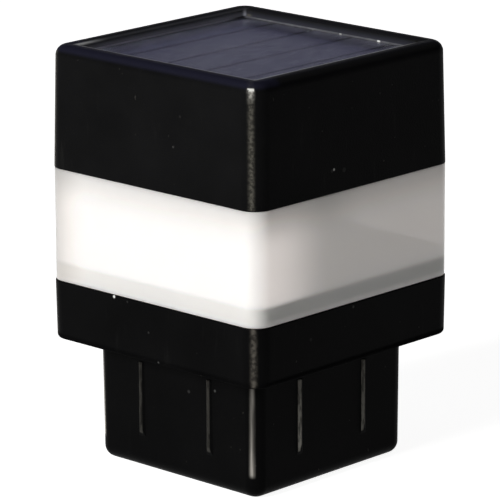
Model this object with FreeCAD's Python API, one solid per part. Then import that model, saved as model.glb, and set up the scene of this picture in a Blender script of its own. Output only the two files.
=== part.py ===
# Deck post cap light that plugs into the open top of a 2 inch square tube post.
# Millimetres, +Z up. The origin is the centre of the plug's underside.
# The lower assembly is the plug, the base and the lens. The head lifts off it,
# and holds the solar panel, the cell, the circuit board and the lamps.
import FreeCAD, Part
import math
import os

from FreeCAD import Vector

# ---- outside of the head, which is square in plan ----
HEAD_WIDTH = 61.0
HEAD_CORNER = 4.1           # radius of the four upright corners
MOULDED_EDGE = 0.25         # rounding of the edges at the lens
BASE_HEIGHT = 12.95
LENS_HEIGHT = 24.4          # the band of lens that shows
HOUSING_HEIGHT = 26.3
HOUSING_SET_BACK = 0.1      # the housing's foot stands this far inside the base's sides
HOUSING_DRAFT = 0.5         # per side, from the joint to the top
HOUSING_TOP_EDGE = 2.3      # rounding of the top edge
BASE_DRAFT = 0.15           # per side, from the seam to the shoulder
BASE_BOTTOM_EDGE = 0.9
LENS_SET_BACK = 0.18        # the lens stands this far inside the base's sides

# ---- plug, which goes into the post ----
PLUG_LENGTH = 26.8
PLUG_WIDTH = 46.6           # at the shoulder
PLUG_DRAFT = 0.17           # per side, down to the underside
PLUG_CORNER = 3.1
PLUG_BOTTOM_EDGE = 2.7
PLUG_TOP_CHAMFER = 0.3
PLUG_WALL = 2.2
PLUG_FLOOR = 2.2
DRAIN_RADIUS = 2.0
RIB_OFFSET = 9.9            # from the middle of the face
RIB_WIDTH = 2.0
RIB_HEIGHT = 0.75
RIB_TOP = 3.1               # below the shoulder
RIB_LENGTH = 13.9           # of full height
RIB_RAMP = 2.7              # lead-in below the full height
RIB_CREST = 0.2             # rounding of the crest

# ---- screw towers of the plug, and the screws into the base ----
TOWER_INSET = 5.9           # from the inner wall to the tower's axis
TOWER_RADIUS = 3.9
TOWER_SEAT = 17.5           # height at which the screw heads bear
TOWER_MOUTH_RADIUS = 2.9
PLUG_SCREW_LENGTH = 15.0

# ---- base ----
BASE_WALL = 2.4
BASE_FLOOR = 2.4
COLLAR_HEIGHT = 5.2         # rises this far behind the lens
COLLAR_WALL = 1.8
COLLAR_ROOT = 3.0           # how far down the wall the collar is rooted
BASE_BOSS_RADIUS = 3.5
BASE_BOSS_HEIGHT = 7.0      # above the base's floor
RING_HEIGHT = 3.0           # locating ring inside the plug's mouth
RING_WALL = 1.6

# ---- lens ----
LENS_WALL = 2.0
LENS_TOP_BAND = 2.5         # thick band under the joint
TONGUE_HEIGHT = 3.5         # rises inside the housing
TONGUE_WALL = 1.65
CATCH_LENGTH = 14.0         # snap catches on the collar
CATCH_HEIGHT = 0.9
CATCH_DEPTH = 0.4
CATCH_RISE = 2.2            # above the seam

# ---- reflector on the base ----
REFLECTOR_PLATE = 1.5
REFLECTOR_RIM = 9.0         # flat rim round the pyramid
REFLECTOR_CONE_HEIGHT = 8.0
REFLECTOR_TIP_WIDTH = 3.0
REFLECTOR_SKIN = 1.4
REFLECTOR_SCREW_INSET = 4.8 # from the collar
REFLECTOR_BOSS_RADIUS = 2.8

# ---- seal between the head and the lens ----
SEAL_WIDTH = 0.8
SEAL_HEIGHT = 1.0

# ---- housing ----
HOUSING_WALL = 2.2
LIP_THICKNESS = 1.65
RIM_WIDTH = 5.3             # from the outer side to the window
WINDOW_CORNER = 0.8
RIM_SLOPE_WIDTH = 1.6       # the rim falls towards the window over this width
RIM_SLOPE_DROP = 0.28
WINDOW_EDGE = 0.3
HOUSING_BOSS_RADIUS = 3.5
HOUSING_BOSS_HEIGHT = 11.0
HOUSING_BOSS_INSET = 5.3    # from the inner wall to the boss's axis
BOSS_WEB = 2.4

# ---- solar panel ----
PANEL_CORNER = 2.4
PANEL_SEAL_THICKNESS = 0.4
PANEL_SEAL_SHOW = 0.1       # the seal's inner edge stands this far outside the window
PANEL_COVER = 0.5
STRIP_THICKNESS = 0.25
STRIP_COUNT = 5
STRIP_GAP = 0.5
STRIP_MARGIN = 1.0          # board past the strips' ends
LINK_LENGTH = 3.0
PANEL_BOARD = 1.2
PANEL_PAD_X = 17.0          # solder pads of the leads
PANEL_PAD_INSET = 6.0       # from the board's edge

# ---- tray that closes the head ----
TRAY_THICKNESS = 2.0
TRAY_SCREW_LENGTH = 9.0

# ---- circuit board, on the tray's posts ----
BOARD_STANDOFF = 4.0
BOARD_THICKNESS = 1.6
BOARD_SIDE_GAP = 3.3        # from the housing's wall
BOARD_BOSS_GAP = 2.35       # from the housing's bosses
POST_RADIUS = 2.6
POST_INSET = 3.7            # from the board's end
BOARD_SCREW_LENGTH = 4.5
BOARD_PAD_INSET = 3.0       # panel leads' pads, from the board's edge
BOARD_PAD_X = 6.1
BATTERY_PAD_INSET = 9.7     # battery leads' pads, from the board's end
CHIP_LENGTH = 4.9
CHIP_WIDTH = 3.9
CHIP_HEIGHT = 1.5
CHIP_PINS = 4               # on each side
CHOKE_RADIUS = 1.6
CHOKE_LENGTH = 7.0
CHOKE_LEG = 0.5
CAPACITOR_RADIUS = 2.0
CAPACITOR_HEIGHT = 5.0

# ---- lamps ----
LED_SPACING = 22.0
LED_BOX_GAP = 2.25          # from the flange to the battery box
LED_RADIUS = 2.5
LED_FLANGE_RADIUS = 2.9
LED_FLANGE = 1.0
LED_LENGTH = 8.6
LED_LEG = 0.5
LED_LEG_PITCH = 2.54

# ---- slide switch ----
SWITCH_LED_GAP = 10.0       # from the lamps' row to the switch
SWITCH_LENGTH = 8.6
SWITCH_WIDTH = 3.7
SWITCH_HEIGHT = 3.5
SWITCH_TRAVEL = 2.0
SLIDER_FOOT_LENGTH = 2.4
SLIDER_FOOT_HEIGHT = 0.8
SLIDER_WIDTH = 1.5
SLIDER_LENGTH = 1.9
SLIDER_REACH = 1.3          # below the tray

# ---- cell (AAA size) and its box ----
CELL_RADIUS = 5.15
CELL_LENGTH = 44.5          # over the nub
CELL_NUB_RADIUS = 1.9
CELL_NUB = 0.9
SLEEVE_THICKNESS = 0.15
BOX_WALL = 1.2
BOX_BOSS_GAP = 0.65         # from the housing's bosses
CONTACT_THICKNESS = 0.3
CONTACT_WIDTH = 7.0
CONTACT_TAB_WIDTH = 3.0
CONTACT_TAB_SHARE = 0.6     # of the room between the box's roof and the panel
LEAF_DEPTH = 2.2
LEAF_SPAN = 8.0

# ---- battery door ----
DOOR_FLANGE = 1.0
DOOR_LIP = 1.0              # the flange laps the opening by this much
DOOR_TAB_WIDTH = 7.0
DOOR_TAB_REACH = 5.0        # from the opening's edge
DOOR_SCREW_REACH = 2.6
DOOR_BOSS_RADIUS = 2.3
DOOR_SCREW_LENGTH = 4.4
PAD_THICKNESS = 1.0
PAD_WIDTH = 7.0
PAD_LENGTH = 38.0

# ---- screws and leads ----
SCREW_RADIUS = 1.3
SCREW_HEAD_RADIUS = 2.4
SCREW_HEAD = 1.7
SMALL_SCREW_RADIUS = 0.9
SMALL_HEAD_RADIUS = 1.8
SMALL_HEAD = 1.2
LEAD_RADIUS = 0.55
BEND_SHARE = 0.45           # of the shorter run that a bend takes
# points along a lead, as shares of the way across in x, in y and down
PANEL_LEAD_ROUTE = [(0, 0, 0), (0, 0, 0.25), (0.13, 0.13, 0.44), (0.4, 0.36, 0.54),
                    (0.72, 0.63, 0.55), (0.94, 0.9, 0.63), (1, 1, 0.82), (1, 1, 1)]
BATTERY_LEAD_ROUTE = [(0, 0, 0), (0.37, 0, 0), (0.69, 0.13, 0), (0.89, 0.4, -0.02),
                      (0.95, 0.8, -0.01), (0.97, 0.98, 0.36), (1, 1, 0.73), (1, 1, 1)]

# ---- clearances ----
FIT = 0.15                  # between moulded pieces that push together
SCREW_FIT = 0.04            # round a screw's thread
HOLE_CLEARANCE = 0.25       # round a screw or lamp that passes through
SLIDE_FIT = 0.1             # round the switch slider's foot
SLOT_CLEARANCE = 0.35       # round the switch slider in the tray
DOOR_FIT = 0.2
LOOSE_FIT = 0.3             # round soft pieces and boards
CELL_FIT = 0.5              # round the cell
TOUCH = 0.05                # between a spring contact and the cell
ROOT = 0.6                  # how far a rib, web or catch is rooted in its wall

# ---- worked out from the sizes above ----
HEAD_HALF = HEAD_WIDTH / 2
Z_SHOULDER = PLUG_LENGTH
Z_SEAM = Z_SHOULDER + BASE_HEIGHT
Z_JOINT = Z_SEAM + LENS_HEIGHT
Z_TOP = Z_JOINT + HOUSING_HEIGHT

PLUG_BOTTOM_HALF = PLUG_WIDTH / 2 - PLUG_DRAFT
PLUG_CAVITY_HALF = PLUG_BOTTOM_HALF - PLUG_WALL
TOWER_OFFSET = PLUG_CAVITY_HALF - TOWER_INSET
Z_BASE_FLOOR = Z_SHOULDER + BASE_FLOOR
Z_REFLECTOR = Z_BASE_FLOOR + BASE_BOSS_HEIGHT

LENS_OUTER_HALF = HEAD_HALF - LENS_SET_BACK
LENS_INNER_HALF = LENS_OUTER_HALF - LENS_WALL
LENS_CORNER = HEAD_CORNER - LENS_SET_BACK
COLLAR_OUTER_HALF = LENS_INNER_HALF - FIT
COLLAR_INNER_HALF = COLLAR_OUTER_HALF - COLLAR_WALL
REFLECTOR_HALF = COLLAR_INNER_HALF - LOOSE_FIT

HOUSING_INNER_HALF = HEAD_HALF - HOUSING_WALL
HOUSING_INNER_CORNER = HEAD_CORNER - HOUSING_WALL
TONGUE_OUTER_HALF = HOUSING_INNER_HALF - FIT
TONGUE_INNER_HALF = TONGUE_OUTER_HALF - TONGUE_WALL
BOSS_OFFSET = HOUSING_INNER_HALF - HOUSING_BOSS_INSET
BOSS_EDGE = BOSS_OFFSET - HOUSING_BOSS_RADIUS
WINDOW_HALF = HEAD_HALF - RIM_WIDTH
PANEL_HALF = HOUSING_INNER_HALF - LOOSE_FIT
STRIP_PITCH = 2 * PANEL_HALF / STRIP_COUNT
STRIP_HALF_LENGTH = PANEL_HALF - STRIP_MARGIN

Z_LIP = Z_TOP - LIP_THICKNESS
Z_COVER_TOP = Z_LIP - PANEL_SEAL_THICKNESS
Z_STRIP_TOP = Z_COVER_TOP - PANEL_COVER
Z_PANEL_BOARD_TOP = Z_STRIP_TOP - STRIP_THICKNESS
Z_PANEL_BACK = Z_PANEL_BOARD_TOP - PANEL_BOARD

Z_TRAY = Z_JOINT + TONGUE_HEIGHT + LOOSE_FIT
Z_TRAY_TOP = Z_TRAY + TRAY_THICKNESS
Z_BOARD = Z_TRAY_TOP + BOARD_STANDOFF
Z_BOARD_TOP = Z_BOARD + BOARD_THICKNESS

BOX_INNER_HALF_WIDTH = CELL_RADIUS + CELL_FIT
BOX_OUTER_HALF_WIDTH = BOX_INNER_HALF_WIDTH + BOX_WALL
BATTERY_ROW = BOX_OUTER_HALF_WIDTH + BOX_BOSS_GAP - BOSS_EDGE
LED_ROW = BATTERY_ROW + BOX_OUTER_HALF_WIDTH + LED_BOX_GAP + LED_FLANGE_RADIUS
SWITCH_ROW = LED_ROW + SWITCH_LED_GAP
BOX_INNER_LENGTH = CONTACT_THICKNESS + LEAF_DEPTH + CELL_LENGTH + 2 * TOUCH + CONTACT_THICKNESS
BOX_START = -BOX_INNER_LENGTH / 2
BOX_END = BOX_INNER_LENGTH / 2
CELL_START = BOX_START + CONTACT_THICKNESS + LEAF_DEPTH + TOUCH
CELL_Z = Z_TRAY_TOP + PAD_THICKNESS + DOOR_FIT + CELL_RADIUS
Z_BOX_ROOF = CELL_Z + CELL_RADIUS + DOOR_FIT
Z_BOX_TOP = Z_BOX_ROOF + BOX_WALL

CONTACT_TAB_RISE = CONTACT_TAB_SHARE * (Z_PANEL_BACK - Z_BOX_TOP)

BOARD_START = BATTERY_ROW + BOX_OUTER_HALF_WIDTH + LOOSE_FIT
BOARD_END = BOSS_EDGE - BOARD_BOSS_GAP
BOARD_ROW = (BOARD_START + BOARD_END) / 2
BOARD_HALF_LENGTH = HOUSING_INNER_HALF - BOARD_SIDE_GAP
POST_OFFSET = BOARD_HALF_LENGTH - POST_INSET
COMPONENT_ROW = (BOARD_ROW + BOARD_END) / 2
DOOR_EDGE = BATTERY_ROW + BOX_INNER_HALF_WIDTH
DOOR_SCREW_Y = DOOR_EDGE + DOOR_SCREW_REACH
SLIDER_START = -SWITCH_TRAVEL / 2


def inset_corner(corner, inset):
    """Radius of a corner drawn in by the inset, never quite sharp."""
    return max(corner - inset, 0.4)


def quarter_turns(x, y, z, turns):
    """The point x, y, z turned round Z by a number of quarter turns."""
    for _ in range(turns):
        x, y = -y, x
    return Vector(x, y, z)


def rounded_square(half, corner, z):
    """Closed wire of a square with rounded corners, centred on the axis."""
    flat = half - corner
    middle = flat + corner * math.sqrt(0.5)
    edges = []
    for turns in range(4):
        start = quarter_turns(half, -flat, z, turns)
        bend = quarter_turns(half, flat, z, turns)
        top = quarter_turns(middle, middle, z, turns)
        finish = quarter_turns(flat, half, z, turns)
        edges.append(Part.LineSegment(start, bend).toShape())
        edges.append(Part.Arc(bend, top, finish).toShape())
    return Part.Wire(edges)


def block(half, corner, bottom, top):
    """Upright block with a rounded square outline."""
    face = Part.Face(rounded_square(half, corner, bottom))
    return face.extrude(Vector(0, 0, top - bottom))


def tapered_block(bottom_half, top_half, corner, bottom, top):
    """The same, with drafted sides."""
    outlines = [rounded_square(bottom_half, corner, bottom), rounded_square(top_half, corner, top)]
    return Part.makeLoft(outlines, True, True)


def square_ring(outer_half, inner_half, corner, bottom, top):
    """Rounded square tube whose corner radius is the outer one."""
    outer = block(outer_half, corner, bottom, top)
    inner_corner = inset_corner(corner, outer_half - inner_half)
    return outer.cut(block(inner_half, inner_corner, bottom, top))


def box(x0, x1, y0, y1, z0, z1):
    """Plain box between two corners."""
    return Part.makeBox(x1 - x0, y1 - y0, z1 - z0, Vector(x0, y0, z0))


def upright(radius, x, y, z0, z1):
    """Upright cylinder."""
    return Part.makeCylinder(radius, z1 - z0, Vector(x, y, z0))


def edges_on_level(shape, z, reach=None):
    """Edges that lie flat at height z, and within reach of the axis if it is given."""
    found = []
    for edge in shape.Edges:
        span = edge.BoundBox
        level = abs(span.ZMin - z) < 1e-4 and abs(span.ZMax - z) < 1e-4
        widest = max(abs(span.XMin), abs(span.XMax), abs(span.YMin), abs(span.YMax))
        if level and (reach is None or widest < reach):
            found.append(edge)
    return found


def four_corners(offset):
    """The four points at the offset from the axis, both ways."""
    return [(x, y) for x in (-offset, offset) for y in (-offset, offset)]


def screw(x, y, seat, length, upwards, thread=SCREW_RADIUS, head=SCREW_HEAD_RADIUS, head_height=SCREW_HEAD):
    """Pan head screw with a cross recess. Its head bears at the height seat."""
    tip = 1.2 * thread
    body = Part.makeCylinder(thread, length - tip)
    point = Part.makeCone(thread, 0.25 * thread, tip, Vector(0, 0, length - tip))
    cap = Part.makeCylinder(head, head_height, Vector(0, 0, -head_height))
    cap = cap.makeFillet(0.45 * head_height, edges_on_level(cap, -head_height))
    arm = 0.62 * head
    slot = 0.16 * head
    depth = 0.55 * head_height
    cross = box(-arm, arm, -slot, slot, -head_height, depth - head_height)
    cross = cross.fuse(box(-slot, slot, -arm, arm, -head_height, depth - head_height))
    made = cap.fuse([body, point]).cut(cross).removeSplitter()
    if not upwards:
        made.rotate(Vector(0, 0, 0), Vector(1, 0, 0), 180)
    made.translate(Vector(x, y, seat))
    return made


def small_screw(x, y, seat, length, upwards):
    """Pan head screw of the small size."""
    return screw(x, y, seat, length, upwards, SMALL_SCREW_RADIUS, SMALL_HEAD_RADIUS, SMALL_HEAD)


def lead(name, points):
    """Insulated lead along straight runs that tangent arcs join. Prints its least bend."""
    edges = []
    radii = []
    start = points[0]
    for before, here, after in zip(points, points[1:], points[2:]):
        back = before - here
        ahead = after - here
        share = BEND_SHARE * min(back.Length, ahead.Length)
        half_turn = (math.pi - back.getAngle(ahead)) / 2
        radius = share / math.tan(half_turn)
        back.normalize()
        ahead.normalize()
        inward = back + ahead
        inward.normalize()
        arc_start = here + back * share
        arc_middle = here + inward * (radius / math.cos(half_turn) - radius)
        arc_end = here + ahead * share
        edges.append(Part.LineSegment(start, arc_start).toShape())
        edges.append(Part.Arc(arc_start, arc_middle, arc_end).toShape())
        radii.append(radius)
        start = arc_end
    edges.append(Part.LineSegment(start, points[-1]).toShape())
    path = Part.Wire(edges)
    ring = Part.Wire(Part.makeCircle(LEAD_RADIUS, points[0], points[1] - points[0]))
    tube = path.makePipeShell([ring], True, False)
    plain = math.pi * LEAD_RADIUS ** 2 * path.Length
    print(f"{name}: length {path.Length:.1f}, least bend {min(radii):.1f}, "
          f"volume {tube.Volume:.2f} against {plain:.2f}")
    return tube


# ---------------------------------------------------------------- lower assembly

def crush_rib(turns, offset):
    """Upright triangular rib on one face of the plug, with a flat lead-in at its foot."""
    top = Z_SHOULDER - RIB_TOP
    foot = top - RIB_LENGTH - RIB_RAMP
    face = PLUG_BOTTOM_HALF
    crest = face + RIB_HEIGHT
    slope = RIB_HEIGHT / (RIB_WIDTH / 2)
    rooted = RIB_WIDTH / 2 + ROOT / slope
    outline = [(face - ROOT, offset - rooted), (crest, offset), (face - ROOT, offset + rooted)]
    corners = [Vector(x, y, foot) for x, y in outline]
    rib = Part.Face(Part.makePolygon(corners + corners[:1])).extrude(Vector(0, 0, top - foot))
    crest_edges = [e for e in rib.Edges if e.BoundBox.XMin > crest - 1e-4]
    rib = rib.makeFillet(RIB_CREST, crest_edges)
    past = 2 * RIB_HEIGHT
    drop = RIB_RAMP * past / RIB_HEIGHT
    wedge = [Vector(face, offset - RIB_WIDTH, foot), Vector(face + past, offset - RIB_WIDTH, foot + drop),
             Vector(face + past, offset - RIB_WIDTH, foot)]
    ramp = Part.Face(Part.makePolygon(wedge + wedge[:1])).extrude(Vector(0, 2 * RIB_WIDTH, 0))
    rib = rib.cut(ramp)
    rib.rotate(Vector(0, 0, 0), Vector(0, 0, 1), 90 * turns)
    return rib


def post_plug():
    """Square cup that goes into the post, with screw towers inside."""
    top_half = PLUG_WIDTH / 2
    z_chamfer = Z_SHOULDER - PLUG_TOP_CHAMFER
    cup = tapered_block(PLUG_BOTTOM_HALF, top_half, PLUG_CORNER, 0, z_chamfer)
    cup = cup.makeFillet(PLUG_BOTTOM_EDGE, edges_on_level(cup, 0))
    mouth_corner = PLUG_CORNER - PLUG_TOP_CHAMFER
    mouth = [rounded_square(top_half, PLUG_CORNER, z_chamfer),
             rounded_square(top_half - PLUG_TOP_CHAMFER, mouth_corner, Z_SHOULDER)]
    cup = cup.fuse(Part.makeLoft(mouth, True, True))
    cavity_corner = inset_corner(PLUG_CORNER, PLUG_WALL)
    cup = cup.cut(block(PLUG_CAVITY_HALF, cavity_corner, PLUG_FLOOR, Z_SHOULDER))
    corners = four_corners(TOWER_OFFSET)
    towers = [upright(TOWER_RADIUS, x, y, PLUG_FLOOR - ROOT, Z_SHOULDER) for x, y in corners]
    ribs = [crush_rib(turns, offset) for turns in range(4) for offset in (-RIB_OFFSET, RIB_OFFSET)]
    cup = cup.fuse(towers + ribs)
    drills = [upright(DRAIN_RADIUS, 0, 0, 0, PLUG_FLOOR)]
    for x, y in four_corners(TOWER_OFFSET):
        drills.append(upright(TOWER_MOUTH_RADIUS, x, y, 0, TOWER_SEAT))
        drills.append(upright(SCREW_RADIUS + HOLE_CLEARANCE, x, y, TOWER_SEAT, Z_SHOULDER))
    return cup.cut(drills).removeSplitter()


def plug_screws():
    """Four screws from under the plug into the base."""
    return [screw(x, y, TOWER_SEAT, PLUG_SCREW_LENGTH, True) for x, y in four_corners(TOWER_OFFSET)]


def base_screw_places():
    """Axes of the two reflector screws."""
    offset = COLLAR_INNER_HALF - REFLECTOR_SCREW_INSET
    return [(-offset, 0), (offset, 0)]


def base_shell():
    """Outer band of the base with its floor and the collar behind the lens."""
    band = tapered_block(HEAD_HALF - BASE_DRAFT, HEAD_HALF, HEAD_CORNER, Z_SHOULDER, Z_SEAM)
    band = band.makeFillet(BASE_BOTTOM_EDGE, edges_on_level(band, Z_SHOULDER))
    band = band.makeFillet(MOULDED_EDGE, edges_on_level(band, Z_SEAM))
    inner_half = HEAD_HALF - BASE_WALL
    band = band.cut(block(inner_half, inset_corner(HEAD_CORNER, BASE_WALL), Z_BASE_FLOOR, Z_SEAM))
    root = square_ring(inner_half + ROOT, COLLAR_INNER_HALF, HEAD_CORNER - BASE_WALL + ROOT,
                       Z_SEAM - COLLAR_ROOT, Z_SEAM)
    collar_corner = inset_corner(LENS_CORNER, LENS_WALL + FIT)
    collar = square_ring(COLLAR_OUTER_HALF, COLLAR_INNER_HALF, collar_corner,
                         Z_SEAM - COLLAR_ROOT, Z_SEAM + COLLAR_HEIGHT)
    return band.fuse([root, collar])


def catch(turns, grown):
    """Snap catch on the collar, or with grown above 0 the pocket for it in the lens."""
    low = Z_SEAM + CATCH_RISE - grown
    bar = box(COLLAR_OUTER_HALF - ROOT, COLLAR_OUTER_HALF + CATCH_DEPTH + grown,
              -CATCH_LENGTH / 2 - grown, CATCH_LENGTH / 2 + grown,
              low, low + CATCH_HEIGHT + 2 * grown)
    bar.rotate(Vector(0, 0, 0), Vector(0, 0, 1), 90 * turns)
    return bar


def base_frame():
    """Base with its collar, catches, screw bosses and the ring that centres the plug."""
    pieces = [catch(turns, 0) for turns in range(4)]
    for x, y in four_corners(TOWER_OFFSET):
        pieces.append(upright(BASE_BOSS_RADIUS, x, y, Z_BASE_FLOOR - ROOT, Z_REFLECTOR))
    for x, y in base_screw_places():
        pieces.append(upright(REFLECTOR_BOSS_RADIUS, x, y, Z_BASE_FLOOR - ROOT, Z_REFLECTOR))
    ring_half = PLUG_CAVITY_HALF - FIT
    pieces.append(square_ring(ring_half, ring_half - RING_WALL, inset_corner(PLUG_CORNER, PLUG_WALL),
                              Z_SHOULDER - RING_HEIGHT, Z_SHOULDER + ROOT))
    base = base_shell().fuse(pieces)
    thread_end = TOWER_SEAT + PLUG_SCREW_LENGTH + LOOSE_FIT
    drills = [upright(SCREW_RADIUS + SCREW_FIT, x, y, Z_SHOULDER, thread_end)
              for x, y in four_corners(TOWER_OFFSET)]
    for x, y in base_screw_places():
        drills.append(upright(SMALL_SCREW_RADIUS + SCREW_FIT, x, y, Z_BASE_FLOOR, Z_REFLECTOR))
    return base.cut(drills).removeSplitter()


def lens():
    """Frosted square tube that stands on the base. Its tongue rises inside the housing."""
    wall = block(LENS_OUTER_HALF, LENS_CORNER, Z_SEAM, Z_JOINT)
    wall = wall.makeFillet(MOULDED_EDGE, edges_on_level(wall, Z_SEAM) + edges_on_level(wall, Z_JOINT))
    wall = wall.cut(block(LENS_INNER_HALF, inset_corner(LENS_CORNER, LENS_WALL), Z_SEAM, Z_JOINT))
    band = square_ring(LENS_OUTER_HALF - ROOT, TONGUE_INNER_HALF, LENS_CORNER - ROOT,
                       Z_JOINT - LENS_TOP_BAND, Z_JOINT)
    tongue = square_ring(TONGUE_OUTER_HALF, TONGUE_INNER_HALF, inset_corner(HOUSING_INNER_CORNER, FIT),
                         Z_JOINT - LENS_TOP_BAND, Z_JOINT + TONGUE_HEIGHT)
    tube = wall.fuse([band, tongue])
    return tube.cut([catch(turns, FIT) for turns in range(4)]).removeSplitter()


def head_seal():
    """Rubber ring round the foot of the lens's tongue."""
    inner = TONGUE_OUTER_HALF + TOUCH
    corner = inset_corner(HOUSING_INNER_CORNER, FIT) + SEAL_WIDTH
    return square_ring(inner + SEAL_WIDTH, inner, corner, Z_JOINT, Z_JOINT + SEAL_HEIGHT)


def floor_reflector():
    """White plate on the base's bosses, with a hollow pyramid that spreads the light."""
    plate_top = Z_REFLECTOR + REFLECTOR_PLATE
    plate = block(REFLECTOR_HALF, PLUG_CORNER, Z_REFLECTOR, plate_top)
    wide = REFLECTOR_HALF - REFLECTOR_RIM
    narrow = REFLECTOR_TIP_WIDTH / 2
    cone_top = plate_top + REFLECTOR_CONE_HEIGHT
    cone = tapered_block(wide, narrow, 0.5, Z_REFLECTOR, cone_top)
    thickness = REFLECTOR_SKIN * 1.5
    hollow = tapered_block(wide - thickness, narrow, 0.5, Z_REFLECTOR, cone_top - thickness)
    plate = plate.fuse(cone).cut(hollow)
    holes = [upright(SMALL_SCREW_RADIUS + HOLE_CLEARANCE, x, y, Z_REFLECTOR, plate_top)
             for x, y in base_screw_places()]
    return plate.cut(holes).removeSplitter()


def reflector_screws():
    """Two small screws that hold the reflector down."""
    seat = Z_REFLECTOR + REFLECTOR_PLATE
    length = REFLECTOR_PLATE + DOOR_SCREW_LENGTH
    return [small_screw(x, y, seat, length, False) for x, y in base_screw_places()]


# ---------------------------------------------------------------- head

def housing_boss(x, y):
    """Screw boss near a corner of the housing, tied to the corner by a web."""
    low = Z_TRAY_TOP
    high = Z_TRAY_TOP + HOUSING_BOSS_HEIGHT
    boss = upright(HOUSING_BOSS_RADIUS, x, y, low, high)
    reach = math.sqrt(2) * (HOUSING_INNER_HALF - abs(x))
    web = box(0, reach, -BOSS_WEB / 2, BOSS_WEB / 2, low, high)
    web.rotate(Vector(0, 0, 0), Vector(0, 0, 1), math.degrees(math.atan2(y, x)))
    web.translate(Vector(x, y, 0))
    return boss.fuse(web)


def top_housing():
    """Black shell of the head, open below, with the panel's window in its top."""
    foot = HEAD_HALF - HOUSING_SET_BACK
    shell = tapered_block(foot, foot - HOUSING_DRAFT, HEAD_CORNER, Z_JOINT, Z_TOP)
    shell = shell.makeFillet(HOUSING_TOP_EDGE, edges_on_level(shell, Z_TOP))
    shell = shell.makeFillet(MOULDED_EDGE, edges_on_level(shell, Z_JOINT))
    shell = shell.cut(block(HOUSING_INNER_HALF, HOUSING_INNER_CORNER, Z_JOINT, Z_LIP))
    slope_foot = Z_TOP - RIM_SLOPE_DROP
    slope = tapered_block(WINDOW_HALF, WINDOW_HALF + RIM_SLOPE_WIDTH, WINDOW_CORNER, slope_foot, Z_TOP)
    shell = shell.cut([block(WINDOW_HALF, WINDOW_CORNER, Z_LIP, Z_TOP), slope])
    rim = edges_on_level(shell, slope_foot, WINDOW_HALF + 1e-3)
    shell = shell.makeFillet(WINDOW_EDGE, rim)
    bosses = [housing_boss(x, y) for x, y in four_corners(BOSS_OFFSET)]
    shell = shell.fuse(bosses)
    seal_half = TONGUE_OUTER_HALF + TOUCH + SEAL_WIDTH + FIT
    rebate = block(seal_half, HOUSING_INNER_CORNER + SEAL_WIDTH, Z_JOINT, Z_JOINT + SEAL_HEIGHT + LOOSE_FIT)
    drills = [rebate]
    for x, y in four_corners(BOSS_OFFSET):
        depth = TRAY_SCREW_LENGTH - TRAY_THICKNESS + LOOSE_FIT
        drills.append(upright(SCREW_RADIUS + SCREW_FIT, x, y, Z_TRAY_TOP, Z_TRAY_TOP + depth))
    return shell.cut(drills).removeSplitter()


def panel_seal():
    """Adhesive strip between the window's lip and the panel."""
    inner = WINDOW_HALF + PANEL_SEAL_SHOW
    return square_ring(PANEL_HALF, inner, PANEL_CORNER, Z_COVER_TOP, Z_LIP)


def panel_cover():
    """Clear sheet over the silicon."""
    return block(PANEL_HALF, PANEL_CORNER, Z_STRIP_TOP, Z_COVER_TOP)


def strip_middle(index):
    """Place of a silicon strip across the panel."""
    return (index - (STRIP_COUNT - 1) / 2) * STRIP_PITCH


def solar_strips():
    """Silicon strips side by side."""
    wide = (STRIP_PITCH - STRIP_GAP) / 2
    strips = []
    for index in range(STRIP_COUNT):
        middle = strip_middle(index)
        strips.append(box(middle - wide, middle + wide, -STRIP_HALF_LENGTH, STRIP_HALF_LENGTH,
                          Z_PANEL_BOARD_TOP, Z_STRIP_TOP))
    return strips


def strip_links():
    """Ribbons across the gaps, at alternate ends, that join the strips in series."""
    links = []
    for index in range(STRIP_COUNT - 1):
        gap_middle = strip_middle(index) + STRIP_PITCH / 2
        end = STRIP_HALF_LENGTH if index % 2 else LINK_LENGTH - STRIP_HALF_LENGTH
        links.append(box(gap_middle - STRIP_GAP / 2, gap_middle + STRIP_GAP / 2, end - LINK_LENGTH, end,
                         Z_PANEL_BOARD_TOP, Z_STRIP_TOP))
    return links


def panel_board():
    """Backing board of the panel."""
    return block(PANEL_HALF, PANEL_CORNER, Z_PANEL_BACK, Z_PANEL_BOARD_TOP)


def battery_box():
    """Box for the cell, open below where the door is. Its roof has slits for the contacts."""
    inner = (BOX_START, BOX_END, BATTERY_ROW - BOX_INNER_HALF_WIDTH, BATTERY_ROW + BOX_INNER_HALF_WIDTH)
    outer = (BOX_START - BOX_WALL, BOX_END + BOX_WALL,
             BATTERY_ROW - BOX_OUTER_HALF_WIDTH, BATTERY_ROW + BOX_OUTER_HALF_WIDTH)
    shell = box(*outer, Z_TRAY_TOP - ROOT, Z_BOX_TOP).cut(box(*inner, Z_TRAY_TOP - ROOT, Z_BOX_ROOF))
    slit_half = CONTACT_TAB_WIDTH / 2 + FIT
    slit_deep = CONTACT_THICKNESS + FIT
    slits = [box(BOX_START, BOX_START + slit_deep, BATTERY_ROW - slit_half, BATTERY_ROW + slit_half,
                 Z_BOX_ROOF, Z_BOX_TOP),
             box(BOX_END - slit_deep, BOX_END, BATTERY_ROW - slit_half, BATTERY_ROW + slit_half,
                 Z_BOX_ROOF, Z_BOX_TOP)]
    return shell.cut(slits)


def board_screw_places():
    """Axes of the circuit board's two screws."""
    return [(-POST_OFFSET, BOARD_ROW), (POST_OFFSET, BOARD_ROW)]


def door_outline(grown, z0, z1):
    """The door's flange and screw tab, or with grown above 0 the rebate for them."""
    reach = DOOR_LIP + grown
    flange = box(BOX_START - reach, BOX_END + reach, BATTERY_ROW - BOX_INNER_HALF_WIDTH - reach,
                 DOOR_EDGE + reach, z0, z1)
    tab = box(-DOOR_TAB_WIDTH / 2 - grown, DOOR_TAB_WIDTH / 2 + grown, DOOR_EDGE,
              DOOR_EDGE + DOOR_TAB_REACH + grown, z0, z1)
    return flange.fuse(tab)


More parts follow.
